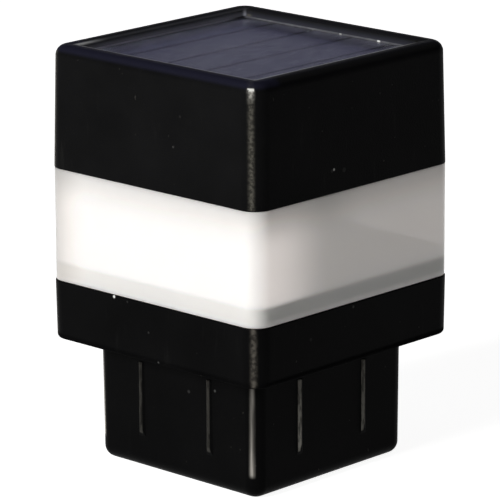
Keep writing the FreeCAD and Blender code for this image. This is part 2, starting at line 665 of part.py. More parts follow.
def head_tray():
    """White plate under the housing, with the battery box, posts and openings."""
    half = HOUSING_INNER_HALF - DOOR_FIT
    plate = block(half, inset_corner(HOUSING_INNER_CORNER, DOOR_FIT), Z_TRAY, Z_TRAY_TOP)
    solids = [battery_box()]
    for x, y in board_screw_places():
        solids.append(upright(POST_RADIUS, x, y, Z_TRAY_TOP - ROOT, Z_BOARD))
    solids.append(upright(DOOR_BOSS_RADIUS, 0, DOOR_SCREW_Y, Z_TRAY_TOP - ROOT, Z_BOARD - LOOSE_FIT))
    plate = plate.fuse(solids)
    cuts = [box(BOX_START, BOX_END, BATTERY_ROW - BOX_INNER_HALF_WIDTH, DOOR_EDGE, Z_TRAY, Z_TRAY_TOP),
            door_outline(DOOR_FIT, Z_TRAY, Z_TRAY + DOOR_FLANGE),
            upright(SMALL_SCREW_RADIUS + SCREW_FIT, 0, DOOR_SCREW_Y, Z_TRAY, Z_BOARD - LOOSE_FIT)]
    for x, y in four_corners(BOSS_OFFSET):
        cuts.append(upright(SCREW_RADIUS + HOLE_CLEARANCE, x, y, Z_TRAY, Z_TRAY_TOP))
    for x, y in board_screw_places():
        cuts.append(upright(SMALL_SCREW_RADIUS + SCREW_FIT, x, y, Z_TRAY_TOP, Z_BOARD))
    for x in (-LED_SPACING / 2, LED_SPACING / 2):
        cuts.append(upright(LED_RADIUS + HOLE_CLEARANCE, x, LED_ROW, Z_TRAY, Z_TRAY_TOP))
    slot_x = SLIDER_LENGTH / 2 + SWITCH_TRAVEL / 2 + SLOT_CLEARANCE
    slot_y = SLIDER_WIDTH / 2 + SLOT_CLEARANCE
    cuts.append(box(-slot_x, slot_x, SWITCH_ROW - slot_y, SWITCH_ROW + slot_y, Z_TRAY, Z_TRAY_TOP))
    return plate.cut(cuts).removeSplitter()


def tray_screws():
    """Four screws that hold the tray to the housing's bosses."""
    return [screw(x, y, Z_TRAY, TRAY_SCREW_LENGTH, True) for x, y in four_corners(BOSS_OFFSET)]


def circuit_board():
    """Board on the tray's posts, over the lamps and the switch."""
    board = box(-BOARD_HALF_LENGTH, BOARD_HALF_LENGTH, BOARD_START, BOARD_END, Z_BOARD, Z_BOARD_TOP)
    board = board.makeFillet(1.0, [e for e in board.Edges if e.BoundBox.ZLength > BOARD_THICKNESS / 2])
    holes = [upright(SMALL_SCREW_RADIUS + HOLE_CLEARANCE, x, y, Z_BOARD, Z_BOARD_TOP)
             for x, y in board_screw_places()]
    return board.cut(holes)


def board_screws():
    """Two small screws that hold the circuit board."""
    return [small_screw(x, y, Z_BOARD_TOP, BOARD_SCREW_LENGTH, False) for x, y in board_screw_places()]


def controller_chip():
    """Charge and lamp controller with a row of pins on each side."""
    y = SWITCH_ROW + SWITCH_WIDTH
    chip = box(-CHIP_LENGTH / 2, CHIP_LENGTH / 2, y - CHIP_WIDTH / 2, y + CHIP_WIDTH / 2,
               Z_BOARD_TOP + 0.1, Z_BOARD_TOP + CHIP_HEIGHT)
    pins = []
    for index in range(CHIP_PINS):
        x = (index - (CHIP_PINS - 1) / 2) * 1.27
        pins.append(box(x - 0.2, x + 0.2, y - CHIP_WIDTH / 2 - 1.0, y + CHIP_WIDTH / 2 + 1.0,
                        Z_BOARD_TOP, Z_BOARD_TOP + 0.25))
    return chip.fuse(pins)


def choke():
    """Small axial choke lying on the board."""
    x = POST_OFFSET / 2
    y = COMPONENT_ROW
    z = Z_BOARD_TOP + CHOKE_RADIUS
    body = Part.makeCylinder(CHOKE_RADIUS, CHOKE_LENGTH, Vector(x - CHOKE_LENGTH / 2, y, z), Vector(1, 0, 0))
    body = body.makeFillet(0.3 * CHOKE_RADIUS, [e for e in body.Edges if e.BoundBox.XLength < 1e-4])
    legs = []
    for side in (-1, 1):
        near = x + side * CHOKE_LENGTH / 2
        far = near + side * 2 * CHOKE_LEG
        x0 = min(near, far)
        x1 = max(near, far)
        foot = x1 - CHOKE_LEG if side > 0 else x0
        legs.append(box(x0, x1, y - CHOKE_LEG / 2, y + CHOKE_LEG / 2, z - CHOKE_LEG / 2, z + CHOKE_LEG / 2))
        legs.append(box(foot, foot + CHOKE_LEG, y - CHOKE_LEG / 2, y + CHOKE_LEG / 2, Z_BOARD_TOP, z))
    return body.fuse(legs).removeSplitter()


def capacitor():
    """Upright can on the board."""
    return upright(CAPACITOR_RADIUS, -POST_OFFSET / 2, COMPONENT_ROW,
                   Z_BOARD_TOP, Z_BOARD_TOP + CAPACITOR_HEIGHT)


def led_lamps():
    """Two domed lamps that hang through the tray."""
    lamps = []
    for x in (-LED_SPACING / 2, LED_SPACING / 2):
        dome_centre = Z_TRAY_TOP + LED_FLANGE - LED_LENGTH + LED_RADIUS
        flange = upright(LED_FLANGE_RADIUS, x, LED_ROW, Z_TRAY_TOP, Z_TRAY_TOP + LED_FLANGE)
        body = upright(LED_RADIUS, x, LED_ROW, dome_centre, Z_TRAY_TOP)
        dome = Part.makeSphere(LED_RADIUS, Vector(x, LED_ROW, dome_centre))
        lamps.append(flange.fuse([body, dome]).removeSplitter())
    return lamps


def led_legs():
    """Lamp legs, from the lamps up to the board."""
    legs = []
    for x in (-LED_SPACING / 2, LED_SPACING / 2):
        for side in (-LED_LEG_PITCH / 2, LED_LEG_PITCH / 2):
            legs.append(box(x + side - LED_LEG / 2, x + side + LED_LEG / 2,
                            LED_ROW - LED_LEG / 2, LED_ROW + LED_LEG / 2,
                            Z_TRAY_TOP + LED_FLANGE, Z_BOARD))
    return legs


def switch_body():
    """Slide switch under the board, with a channel for the slider's foot."""
    low = Z_BOARD - SWITCH_HEIGHT
    case = box(-SWITCH_LENGTH / 2, SWITCH_LENGTH / 2, SWITCH_ROW - SWITCH_WIDTH / 2,
               SWITCH_ROW + SWITCH_WIDTH / 2, low, Z_BOARD)
    half = (SLIDER_FOOT_LENGTH + SWITCH_TRAVEL) / 2 + SLIDE_FIT
    across = SLIDER_WIDTH / 2 + SLIDE_FIT
    channel = box(-half, half, SWITCH_ROW - across, SWITCH_ROW + across, low,
                  low + SLIDER_FOOT_HEIGHT + SLIDE_FIT)
    return case.cut(channel)


def switch_slider():
    """Slider, shown at the off end of its travel."""
    low = Z_BOARD - SWITCH_HEIGHT
    x = SLIDER_START
    foot = box(x - SLIDER_FOOT_LENGTH / 2, x + SLIDER_FOOT_LENGTH / 2, SWITCH_ROW - SLIDER_WIDTH / 2,
               SWITCH_ROW + SLIDER_WIDTH / 2, low, low + SLIDER_FOOT_HEIGHT)
    knob = box(x - SLIDER_LENGTH / 2, x + SLIDER_LENGTH / 2, SWITCH_ROW - SLIDER_WIDTH / 2,
               SWITCH_ROW + SLIDER_WIDTH / 2, Z_TRAY - SLIDER_REACH, low)
    return foot.fuse(knob).removeSplitter()


def along_x(radius, x0, x1):
    """Cylinder on the cell's axis."""
    return Part.makeCylinder(radius, x1 - x0, Vector(x0, BATTERY_ROW, CELL_Z), Vector(1, 0, 0))


def battery_can():
    """Steel can of the cell with its nub."""
    shoulder = CELL_START + CELL_LENGTH - CELL_NUB
    can = along_x(CELL_RADIUS - SLEEVE_THICKNESS - SCREW_FIT, CELL_START, shoulder)
    return can.fuse(along_x(CELL_NUB_RADIUS, shoulder, CELL_START + CELL_LENGTH)).removeSplitter()


def battery_sleeve():
    """Thin sleeve round the can."""
    start = CELL_START + SLEEVE_THICKNESS
    finish = CELL_START + CELL_LENGTH - CELL_NUB
    return along_x(CELL_RADIUS, start, finish).cut(along_x(CELL_RADIUS - SLEEVE_THICKNESS, start, finish))


def contact_plate(x0):
    """Flat contact against an end wall of the box, with a tab through the roof."""
    plate = box(x0, x0 + CONTACT_THICKNESS, BATTERY_ROW - CONTACT_WIDTH / 2, BATTERY_ROW + CONTACT_WIDTH / 2,
                CELL_Z - LEAF_SPAN / 2, Z_BOX_ROOF)
    tab = box(x0, x0 + CONTACT_THICKNESS, BATTERY_ROW - CONTACT_TAB_WIDTH / 2,
              BATTERY_ROW + CONTACT_TAB_WIDTH / 2, Z_BOX_ROOF, Z_BOX_TOP + CONTACT_TAB_RISE)
    return plate.fuse(tab).removeSplitter()


def battery_contact_plus():
    """Contact at the cell's nub."""
    return contact_plate(BOX_END - CONTACT_THICKNESS)


def battery_contact_minus():
    """Contact with a bowed leaf that presses on the cell's flat end."""
    half_span = LEAF_SPAN / 2
    radius = (half_span ** 2 + LEAF_DEPTH ** 2) / (2 * LEAF_DEPTH)
    centre_x = BOX_START + CONTACT_THICKNESS + LEAF_DEPTH - radius
    across = CONTACT_WIDTH / 2
    centre = Vector(centre_x, BATTERY_ROW - across, CELL_Z)
    bow = Part.makeCylinder(radius, CONTACT_WIDTH, centre, Vector(0, 1, 0))
    bow = bow.cut(Part.makeCylinder(radius - CONTACT_THICKNESS, CONTACT_WIDTH, centre, Vector(0, 1, 0)))
    keep = box(BOX_START, BOX_START + CONTACT_THICKNESS + LEAF_DEPTH, BATTERY_ROW - across,
               BATTERY_ROW + across, CELL_Z - half_span, CELL_Z + half_span)
    return contact_plate(BOX_START).fuse(bow.common(keep)).removeSplitter()


def battery_door():
    """Door flush with the tray's underside, with a screw tab."""
    flange = door_outline(0, Z_TRAY, Z_TRAY + DOOR_FLANGE)
    plug = box(BOX_START + DOOR_FIT, BOX_END - DOOR_FIT, BATTERY_ROW - BOX_INNER_HALF_WIDTH + DOOR_FIT,
               DOOR_EDGE - DOOR_FIT, Z_TRAY + DOOR_FLANGE, Z_TRAY_TOP)
    hole = upright(SMALL_SCREW_RADIUS + SCREW_FIT, 0, DOOR_SCREW_Y, Z_TRAY, Z_TRAY + DOOR_FLANGE)
    return flange.fuse(plug).cut(hole).removeSplitter()


def door_screw():
    """Captive screw of the door."""
    return small_screw(0, DOOR_SCREW_Y, Z_TRAY, DOOR_SCREW_LENGTH, True)


def door_pad():
    """Foam strip on the door, under the cell."""
    middle = (BOX_START + BOX_END) / 2
    return box(middle - PAD_LENGTH / 2, middle + PAD_LENGTH / 2, BATTERY_ROW - PAD_WIDTH / 2,
               BATTERY_ROW + PAD_WIDTH / 2, Z_TRAY_TOP, Z_TRAY_TOP + PAD_THICKNESS)


def route(start, finish, shares):
    """Points of a lead, each as shares of the way from its start to its finish."""
    way = finish - start
    return [start + Vector(way.x * x, way.y * y, way.z * z) for x, y, z in shares]


def panel_lead(name, side):
    """Lead from the back of the panel down to the circuit board. Side is -1 or 1."""
    start = Vector(side * PANEL_PAD_X, PANEL_HALF - PANEL_PAD_INSET, Z_PANEL_BACK)
    finish = Vector(side * BOARD_PAD_X, BOARD_END - BOARD_PAD_INSET, Z_BOARD_TOP)
    return lead(name, route(start, finish, PANEL_LEAD_ROUTE))


def battery_lead(name, tab_x, side):
    """Lead from a contact's tab over the box down to the circuit board."""
    start = Vector(tab_x, BATTERY_ROW, Z_BOX_TOP + CONTACT_TAB_RISE / 2)
    pad_x = side * (BOARD_HALF_LENGTH - BATTERY_PAD_INSET)
    finish = Vector(pad_x, BOARD_START + BOARD_PAD_INSET, Z_BOARD_TOP)
    return lead(name, route(start, finish, BATTERY_LEAD_ROUTE))


def solids():
    """Every node by name, each with its list of solids."""
    plus_tab = BOX_END - CONTACT_THICKNESS
    minus_tab = BOX_START + CONTACT_THICKNESS
    return {
        "post_plug": post_plug(),
        "plug_screws": plug_screws(),
        "base_frame": base_frame(),
        "lens": lens(),
        "head_seal": head_seal(),
        "floor_reflector": floor_reflector(),
        "reflector_screws": reflector_screws(),
        "top_housing": top_housing(),
        "panel_seal": panel_seal(),
        "panel_cover": panel_cover(),
        "solar_strips": solar_strips(),
        "strip_links": strip_links(),
        "panel_board": panel_board(),
        "panel_lead_red": panel_lead("panel_lead_red", 1),
        "panel_lead_black": panel_lead("panel_lead_black", -1),
        "head_tray": head_tray(),
        "tray_screws": tray_screws(),
        "circuit_board": circuit_board(),
        "board_screws": board_screws(),
        "controller_chip": controller_chip(),
        "choke": choke(),
        "capacitor": capacitor(),
        "led_lamps": led_lamps(),
        "led_legs": led_legs(),
        "switch_body": switch_body(),
        "switch_slider": switch_slider(),
        "battery_can": battery_can(),
        "battery_sleeve": battery_sleeve(),
        "battery_contact_plus": battery_contact_plus(),
        "battery_contact_minus": battery_contact_minus(),
        "battery_lead_red": battery_lead("battery_lead_red", plus_tab, 1),
        "battery_lead_black": battery_lead("battery_lead_black", minus_tab, -1),
        "battery_door": battery_door(),
        "door_screw": door_screw(),
        "door_pad": door_pad(),
    }


def main():
    """Writes one file for each node."""
    os.makedirs("parts", exist_ok=True)
    for name, shape in solids().items():
        if isinstance(shape, list):
            shape = Part.Compound(shape)
        shape.exportStep(f"parts/{name}.step")


main()
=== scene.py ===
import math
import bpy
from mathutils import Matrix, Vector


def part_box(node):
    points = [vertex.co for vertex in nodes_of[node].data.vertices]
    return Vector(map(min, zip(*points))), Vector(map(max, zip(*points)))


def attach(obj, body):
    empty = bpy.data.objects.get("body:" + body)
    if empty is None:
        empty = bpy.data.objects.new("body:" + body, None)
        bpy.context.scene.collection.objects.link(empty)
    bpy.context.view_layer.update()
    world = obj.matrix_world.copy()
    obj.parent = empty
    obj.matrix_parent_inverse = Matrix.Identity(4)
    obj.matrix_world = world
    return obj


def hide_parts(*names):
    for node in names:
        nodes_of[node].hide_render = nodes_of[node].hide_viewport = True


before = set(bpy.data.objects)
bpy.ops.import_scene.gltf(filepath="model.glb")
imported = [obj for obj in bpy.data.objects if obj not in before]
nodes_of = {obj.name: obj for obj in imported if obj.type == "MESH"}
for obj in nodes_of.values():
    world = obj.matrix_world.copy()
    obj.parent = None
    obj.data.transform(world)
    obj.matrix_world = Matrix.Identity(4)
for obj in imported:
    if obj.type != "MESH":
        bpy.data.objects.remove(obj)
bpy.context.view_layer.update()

# %% [markdown]
# # A post cap light
#
# The light plugs into the open top of a square fence post. From the top down it has a
# black housing with a solar panel let into it, a band of frosted lens, a black base, and
# a ribbed plug. The CAD model gives every shape its place, in metres, with +Z up.
# This file dresses those shapes: it sets the camera and the studio, gives each surface
# its finish, and adds the small parts that are too fine for the CAD model.

# %% Tools and the millimetre
from types import SimpleNamespace

import bmesh
import bpy
from mathutils import Matrix, Vector

MM = 0.001

# %% [markdown]
# ## Camera
#
# The photograph looks at an upright edge of the light, from a little above. A camera
# fitted to the straight edges in the picture gives its azimuth, its height angle and a
# long lens, so the sides hardly converge. A rotation matrix made of the picture's right,
# up and back directions sets all three angles at once.

# %% Camera
AZIMUTH = math.radians(43.41)
ELEVATION = math.radians(14.95)
ROLL = math.radians(-0.29)
FOCAL_LENGTH = 282.95       # in millimetres, as the sensor's width is
SENSOR_WIDTH = 36
CAMERA_PLACE = (0.5539, -0.5857, 0.2606)

back = Vector((math.sin(AZIMUTH) * math.cos(ELEVATION), -math.cos(AZIMUTH) * math.cos(ELEVATION),
               math.sin(ELEVATION)))
level_right = Vector((math.cos(AZIMUTH), math.sin(AZIMUTH), 0))
level_up = back.cross(level_right)
right = math.cos(ROLL) * level_right + math.sin(ROLL) * level_up
up = math.cos(ROLL) * level_up - math.sin(ROLL) * level_right

camera_data = bpy.data.cameras.new("camera")
camera_data.lens = FOCAL_LENGTH
camera_data.sensor_width = SENSOR_WIDTH
camera = bpy.data.objects.new("camera", camera_data)
turn = Matrix((right, up, back)).transposed().to_4x4()
camera.matrix_world = Matrix.Translation(CAMERA_PLACE) @ turn
bpy.context.collection.objects.link(camera)
bpy.context.scene.camera = camera
bpy.context.scene.view_settings.view_transform = "Standard"
print("camera looks along", [round(-x, 3) for x in back])

# %% [markdown]
# ## Nodes
#
# The studio and the finishes are trees of small nodes. An input of a node takes either
# the output of another node or a plain value, so one helper makes a node and fills its
# inputs both ways. Numbers do most of the work. A mask is a number that is 1 where a
# mark shows and 0 elsewhere, and masks multiplied together leave only the place that
# they all share.

# %% Helpers for nodes
def add_node(tree, kind, inputs, **settings):
    """New node with its settings. Each input gets another node's output or a plain value."""
    made = tree.nodes.new(kind)
    for name, value in settings.items():
        setattr(made, name, value)
    for key, value in inputs.items():
        if isinstance(value, bpy.types.NodeSocket):
            tree.links.new(value, made.inputs[key])
        else:
            made.inputs[key].default_value = value
    return made


def math_node(tree, kind, first, *others):
    """Numbers joined two at a time by one kind of sum. Each is an output or a plain number."""
    for other in others:
        first = add_node(tree, "ShaderNodeMath", {0: first, 1: other}, operation=kind).outputs[0]
    return first


def axis_of(tree, place, axis):
    """One of the coordinates: X, Y or Z."""
    return add_node(tree, "ShaderNodeSeparateXYZ", {0: place}).outputs[axis]


def ramp_between(tree, value, low, high, first, second):
    """Colour that goes from first to second while the value goes from low to high."""
    made = add_node(tree, "ShaderNodeValToRGB", {0: value})
    for stop, position, colour in zip(made.color_ramp.elements, (low, high), (first, second)):
        stop.position = position
        stop.color = (*colour, 1)
    return made.outputs["Color"]


def mix_shaders(tree, factor, first, second):
    """Shader that is the first one where the factor is 0, and the second where it is 1."""
    return add_node(tree, "ShaderNodeMixShader", {0: factor, 1: first.outputs[0], 2: second.outputs[0]})


print("helpers for nodes ready")

# %% [markdown]
# ## Studio
#
# The light stands on a pale sweep of floor that runs out of sight. Its material is a
# plain diffuse white, and the rays that come straight from the camera, or by way of a
# mirror or a clear sheet, see more white on it. So the background is white and the
# shadow stays. The sweep has one side only: from below it is clear, so that the light can
# be looked at from underneath, and it lies a hair below the foot, so that the two faces
# don't mix.

# %% Floor
FLOOR_GAP = 0.3 * MM
FLOOR_HALF = 6              # in metres
FLOOR_COLOUR = (0.8, 0.8, 0.79, 1)
BACKGROUND_LIFT = 0.93

floor_shape = bmesh.new()
bmesh.ops.create_grid(floor_shape, x_segments=1, y_segments=1, size=FLOOR_HALF)
bmesh.ops.translate(floor_shape, vec=(0, 0, -FLOOR_GAP), verts=floor_shape.verts)
floor_mesh = bpy.data.meshes.new("studio_floor")
floor_shape.to_mesh(floor_mesh)
floor_shape.free()
floor = bpy.data.objects.new("studio_floor", floor_mesh)
bpy.context.collection.objects.link(floor)

paper = bpy.data.materials.new("studio_paper")
paper.use_nodes = True
tree = paper.node_tree
tree.nodes.clear()
rays = add_node(tree, "ShaderNodeLightPath", {}).outputs
seen = math_node(tree, "MAXIMUM", rays["Is Glossy Ray"], rays["Is Transmission Ray"], rays["Is Camera Ray"])
glow = add_node(tree, "ShaderNodeEmission", {"Strength": math_node(tree, "MULTIPLY", seen, BACKGROUND_LIFT)})
diffuse = add_node(tree, "ShaderNodeBsdfDiffuse", {"Color": FLOOR_COLOUR})
both = add_node(tree, "ShaderNodeAddShader", {0: diffuse.outputs[0], 1: glow.outputs[0]})
from_below = add_node(tree, "ShaderNodeNewGeometry", {}).outputs["Backfacing"]
one_sided = mix_shaders(tree, from_below, both, add_node(tree, "ShaderNodeBsdfTransparent", {}))
add_node(tree, "ShaderNodeOutputMaterial", {"Surface": one_sided.outputs[0]})
floor_mesh.materials.append(paper)
print("floor", 2 * FLOOR_HALF, "m wide")

# %% [markdown]
# The room round the floor is white at the camera's own level. A glossy surface that
# tilts up sees a darker, bluish ceiling, which gives the solar panel its tint and adds to
# the navy painted reflection on the black housing's top edge. Matt surfaces get a weak
# even light from it.
# Light Path tells the kinds of ray apart, and the ray's own height picks the colour.

# %% Room
CEILING = (0.086, 0.086, 0.146)
WALL = (0.85, 0.85, 0.86)
WALL_END, CEILING_START = 0.06, 0.2     # heights of the ray's direction
EVEN_LIGHT = 0.04
WHITE = (1, 1, 1, 1)

world = bpy.data.worlds.new("studio_room")
bpy.context.scene.world = world
world.use_nodes = True
tree = world.node_tree
tree.nodes.clear()
height = axis_of(tree, add_node(tree, "ShaderNodeTexCoord", {}).outputs["Generated"], "Z")
room_tone = ramp_between(tree, height, WALL_END, CEILING_START, WALL, CEILING)
even = add_node(tree, "ShaderNodeBackground", {"Color": WHITE, "Strength": EVEN_LIGHT})
mirrored = add_node(tree, "ShaderNodeBackground", {"Color": room_tone})
white = add_node(tree, "ShaderNodeBackground", {"Color": WHITE})
rays = add_node(tree, "ShaderNodeLightPath", {}).outputs
by_mirror = math_node(tree, "MAXIMUM", rays["Is Glossy Ray"], rays["Is Transmission Ray"])
unseen = mix_shaders(tree, by_mirror, even, mirrored)
room = mix_shaders(tree, rays["Is Camera Ray"], unseen, white)
add_node(tree, "ShaderNodeOutputWorld", {"Surface": room.outputs[0]})
print("room: even light", EVEN_LIGHT)

# %% [markdown]
# ## Lamp of the studio
#
# In the picture the left face of the lens is far brighter than the right one, so one
# soft lamp stands nearly square to the left face. The right face then has only the
# light that the floor and the room send back.

# %% Lamp
LAMP_AZIMUTH = math.radians(-2)     # 0 stands on the -Y side
LAMP_DISTANCE, LAMP_LEVEL = 1.3, 0.62
LAMP_WIDTH = 0.5
LAMP_WATTS = 16
LAMP_AIM = Vector((0, 0, 0.05))

lamp_data = bpy.data.lights.new("main_lamp", "AREA")
lamp_data.size = LAMP_WIDTH
lamp_data.energy = LAMP_WATTS
main_lamp = bpy.data.objects.new("main_lamp", lamp_data)
main_lamp.location = (LAMP_DISTANCE * math.sin(LAMP_AZIMUTH), -LAMP_DISTANCE * math.cos(LAMP_AZIMUTH),
                      LAMP_LEVEL)
main_lamp.rotation_euler = (LAMP_AIM - main_lamp.location).to_track_quat("-Z", "Y").to_euler()
bpy.context.collection.objects.link(main_lamp)
print("lamp:", LAMP_WATTS, "W")

# %% [markdown]
# ## Finishes
#
# Every finish is one Principled shader. Textures read Object coordinates, which here are
# metres in the light's own frame, so a noise of scale 1000 has grains of a millimetre.
# The helpers below keep each finish to a few lines: some make numbers and colours that
# change over the surface, and some join them to the shader.

# %% Helpers for finishes
def start_finish(name, colour, roughness, metallic=0.0):
    """New material. Returns it, its node tree, its shader and its Object coordinates."""
    made = bpy.data.materials.new(name)
    made.use_nodes = True
    shader = made.node_tree.nodes["Principled BSDF"]
    shader.inputs["Base Color"].default_value = (*colour, 1)
    shader.inputs["Roughness"].default_value = roughness
    shader.inputs["Metallic"].default_value = metallic
    coordinates = add_node(made.node_tree, "ShaderNodeTexCoord", {})
    return made, made.node_tree, shader, coordinates.outputs["Object"]


def stretched(tree, place, x, y, z):
    """The same coordinates, with each direction scaled."""
    return add_node(tree, "ShaderNodeMapping", {"Vector": place, "Scale": (x, y, z)}).outputs[0]


def noise(tree, place, scale, detail=2.0):
    """Soft random grain. Scale is in grains a metre."""
    inputs = {"Vector": place, "Scale": scale, "Detail": detail}
    return add_node(tree, "ShaderNodeTexNoise", inputs).outputs["Fac"]


def in_range(tree, value, low, high, first, second):
    """Number that goes smoothly from first to second while the value goes from low to high."""
    inputs = {"Value": value, "From Min": low, "From Max": high, "To Min": first, "To Max": second}
    return add_node(tree, "ShaderNodeMapRange", inputs, interpolation_type="SMOOTHSTEP").outputs["Result"]


def fade(tree, way, datum, start, end, first, second):
    """Goes from first to second between two places along a way, each in millimetres past a datum."""
    return in_range(tree, way, datum + start * MM, datum + end * MM, first, second)


def mix(tree, factor, first, second):
    """Mix of two colours. Each is an output or a plain colour."""
    first, second = ((*tone, 1) if isinstance(tone, tuple) else tone for tone in (first, second))
    return add_node(tree, "ShaderNodeMix", {0: factor, 6: first, 7: second}, data_type="RGBA").outputs[2]


def specks(tree, place, tone, spots):
    """The tone with small round marks. Each spot is x, y, z and radius in millimetres, and a grey."""
    for x, y, z, radius, grey in spots:
        centre = (x * MM, y * MM, z * MM)
        apart = add_node(tree, "ShaderNodeVectorMath", {0: place, 1: centre}, operation="DISTANCE")
        mark = fade(tree, apart.outputs["Value"], 0, 0.4 * radius, radius, 1, 0)
        tone = mix(tree, mark, tone, (grey, grey, 0.97 * grey))
    return tone


def paint(tree, shader, tone):
    """Gives the shader its colour."""
    tree.links.new(tone, shader.inputs["Base Color"])


def roughen(tree, shader, value, low, high, first, second):
    """Roughness that goes from first to second while the value goes from low to high."""
    tree.links.new(in_range(tree, value, low, high, first, second), shader.inputs["Roughness"])


def bump(tree, shader, height, depth):
    """Relief on the surface. Depth is in metres."""
    relief = add_node(tree, "ShaderNodeBump", {"Height": height, "Distance": depth, "Strength": 1.0})
    tree.links.new(relief.outputs[0], shader.inputs["Normal"])


def dress(finish, *nodes):
    """Gives CAD nodes their finish."""
    for node in nodes:
        mesh = nodes_of[node].data
        mesh.materials.clear()
        mesh.materials.append(finish)
    print(finish.name, "on", ", ".join(nodes))


print("helpers for finishes ready")

# %% [markdown]
# ### Black moulded plastic
#
# The housing is a deep black with a fine moulded grain, and the base and the plug come
# from a smoother mould. The specular level is low, because the real plastic hardly
# mirrors its white surroundings. Faint upright rubs and a little dust lie all over.
# The upright corners carry a painted highlight, a grey band set a little off each corner's
# middle. On a rounded corner |x| and |y| are nearly the same, so their difference tells how
# far a point is from the middle of the painted highlight, and a noise breaks it into grit.

# %% Black plastic
SPECULAR_LEVEL = 0.012
FAINT_RUB = (0.012, 0.012, 0.0115)
DUST = (0.07, 0.068, 0.06)


def black_plastic(name, black, roughness, grain, middle, reach, rubbed=0.4, streak=1):
    """A black, and the masks and ways that the marks on it follow, not joined to its shader yet.

    Middle and reach are millimetres of |x| - |y|: where a corner's painted highlight is
    strongest, and how far from there it has faded out. Rubbed is the strength of the faint rubs.
    A streak under 1 draws the grit of the painted corner highlight out into upright lines.
    """
    made, tree, shader, place = start_finish(name, black, roughness)
    shader.inputs["Specular IOR Level"].default_value = SPECULAR_LEVEL
    deep, light = ([part * shade for part in black] for shade in (0.8, 1.25))
    tone = ramp_between(tree, noise(tree, place, 60, 4), 0.35, 0.7, deep, light)
    rubs = noise(tree, stretched(tree, place, 1, 1, 0.12), 700, 3)
    tone = mix(tree, in_range(tree, rubs, 0.62, 0.8, 0, rubbed), tone, FAINT_RUB)
    dust = noise(tree, place, 1150, 0)
    tone = mix(tree, in_range(tree, dust, 0.85, 0.88, 0, 0.35), tone, DUST)

    x, y, level = (axis_of(tree, place, axis) for axis in "XYZ")
    x_out = math_node(tree, "ABSOLUTE", x, 0)
    y_out = math_node(tree, "ABSOLUTE", y, 0)
    # Mask of the painted corner highlight: strongest at the given middle of |x| - |y|, then broken into grit.
    aside = math_node(tree, "SUBTRACT", x_out, y_out, middle * MM)
    corner = fade(tree, math_node(tree, "ABSOLUTE", aside, 0), 0, 0, reach, 1, 0)
    corner = math_node(tree, "POWER", corner, 2)
    grit = noise(tree, stretched(tree, place, 1, 1, streak), 0.55 * grain, 2)
    corner = math_node(tree, "MULTIPLY", corner, in_range(tree, grit, 0.34, 0.66, 0.3, 1))
    return SimpleNamespace(
        made=made, tree=tree, shader=shader, place=place, tone=tone, corner=corner, x=x, y=y, level=level,
        x_out=x_out, y_out=y_out, out=math_node(tree, "MAXIMUM", x_out, y_out), roughness=roughness,
        fine=noise(tree, place, grain, 2))


def finish_black(part, tone, corner_highlight, highlight_tone, depth, dull=0):
    """Joins the tone and the painted corner highlight to the shader, and adds the grain. Dull adds roughness.
    """
    paint(part.tree, part.shader, mix(part.tree, corner_highlight, tone, highlight_tone))
    rough = in_range(part.tree, part.fine, 0.3, 0.7, part.roughness - 0.05, part.roughness + 0.05)
    part.tree.links.new(math_node(part.tree, "ADD", rough, dull), part.shader.inputs["Roughness"])
    bump(part.tree, part.shader, part.fine, depth)


print("black plastic ready")

# %% [markdown]
# The housing has marks of its own, each a mask painted over the black, and most of them
# are painted light. Its top face has a faint painted sheen, and its top edge a navy painted
# reflection of the sky along the -Y side. The edge of the panel's window has a pale painted
# highlight on the two front sides. The window's two back walls have painted light at their
# foot, most of all the left one, where daylight falls in. The front corner has its painted
# highlight brightest just under the top, with one small painted glint above that.

# %% Housing
# Colours of the housing's painted corner highlight, painted sky reflection, painted top sheen, painted
# window-edge highlight, painted light on the back walls and painted glint.
HOUSING_CORNER_HIGHLIGHT = (0.122, 0.115, 0.096)
PAINTED_SKY_REFLECTION = (0.0145, 0.0145, 0.026)
TOP_FACE_SHEEN = (0.0105, 0.0105, 0.01)
WINDOW_EDGE_HIGHLIGHT = (0.5, 0.5, 0.5)
BACK_WALL_LIGHT, LEFT_WALL_LIGHT = (0.038, 0.039, 0.05), (0.36, 0.365, 0.41)
TOP_CORNER_HIGHLIGHT = (0.62, 0.6, 0.54)
CORNER_GLINT = (0.9, 0.89, 0.84)
RIM_WIDTH = 5.3 * MM
HOUSING_FOOT, HOUSING_TOP = (corner[2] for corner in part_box("top_housing"))
WINDOW_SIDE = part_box("base_frame")[1][0] - RIM_WIDTH

part = black_plastic("grained_black", (0.0058, 0.0058, 0.006), roughness=0.42, grain=3200,
                     middle=-1.3, reach=1.8, rubbed=0.8)
tree, x, y, level = part.tree, part.x, part.y, part.level
# Painted corner highlight, fading in over the foot and out under the top.
corner_highlight = math_node(tree, "MULTIPLY", part.corner, fade(tree, level, HOUSING_FOOT, 0.1, 0.4, 0, 1),
                 fade(tree, level, HOUSING_TOP, -1.6, -0.9, 1, 0.04))

# Painted sheen on the top face, and a navy painted reflection of the sky on the top edge along -Y.
top = fade(tree, level, HOUSING_TOP, -1.2, -0.6, 0, 1)
sky_reflection = math_node(tree, "MULTIPLY", fade(tree, level, HOUSING_TOP, -1.6, -0.6, 0, 1),
                fade(tree, y, 0, -23.5, -21.5, 1, 0))
tone = mix(tree, sky_reflection, mix(tree, top, part.tone, TOP_FACE_SHEEN), PAINTED_SKY_REFLECTION)

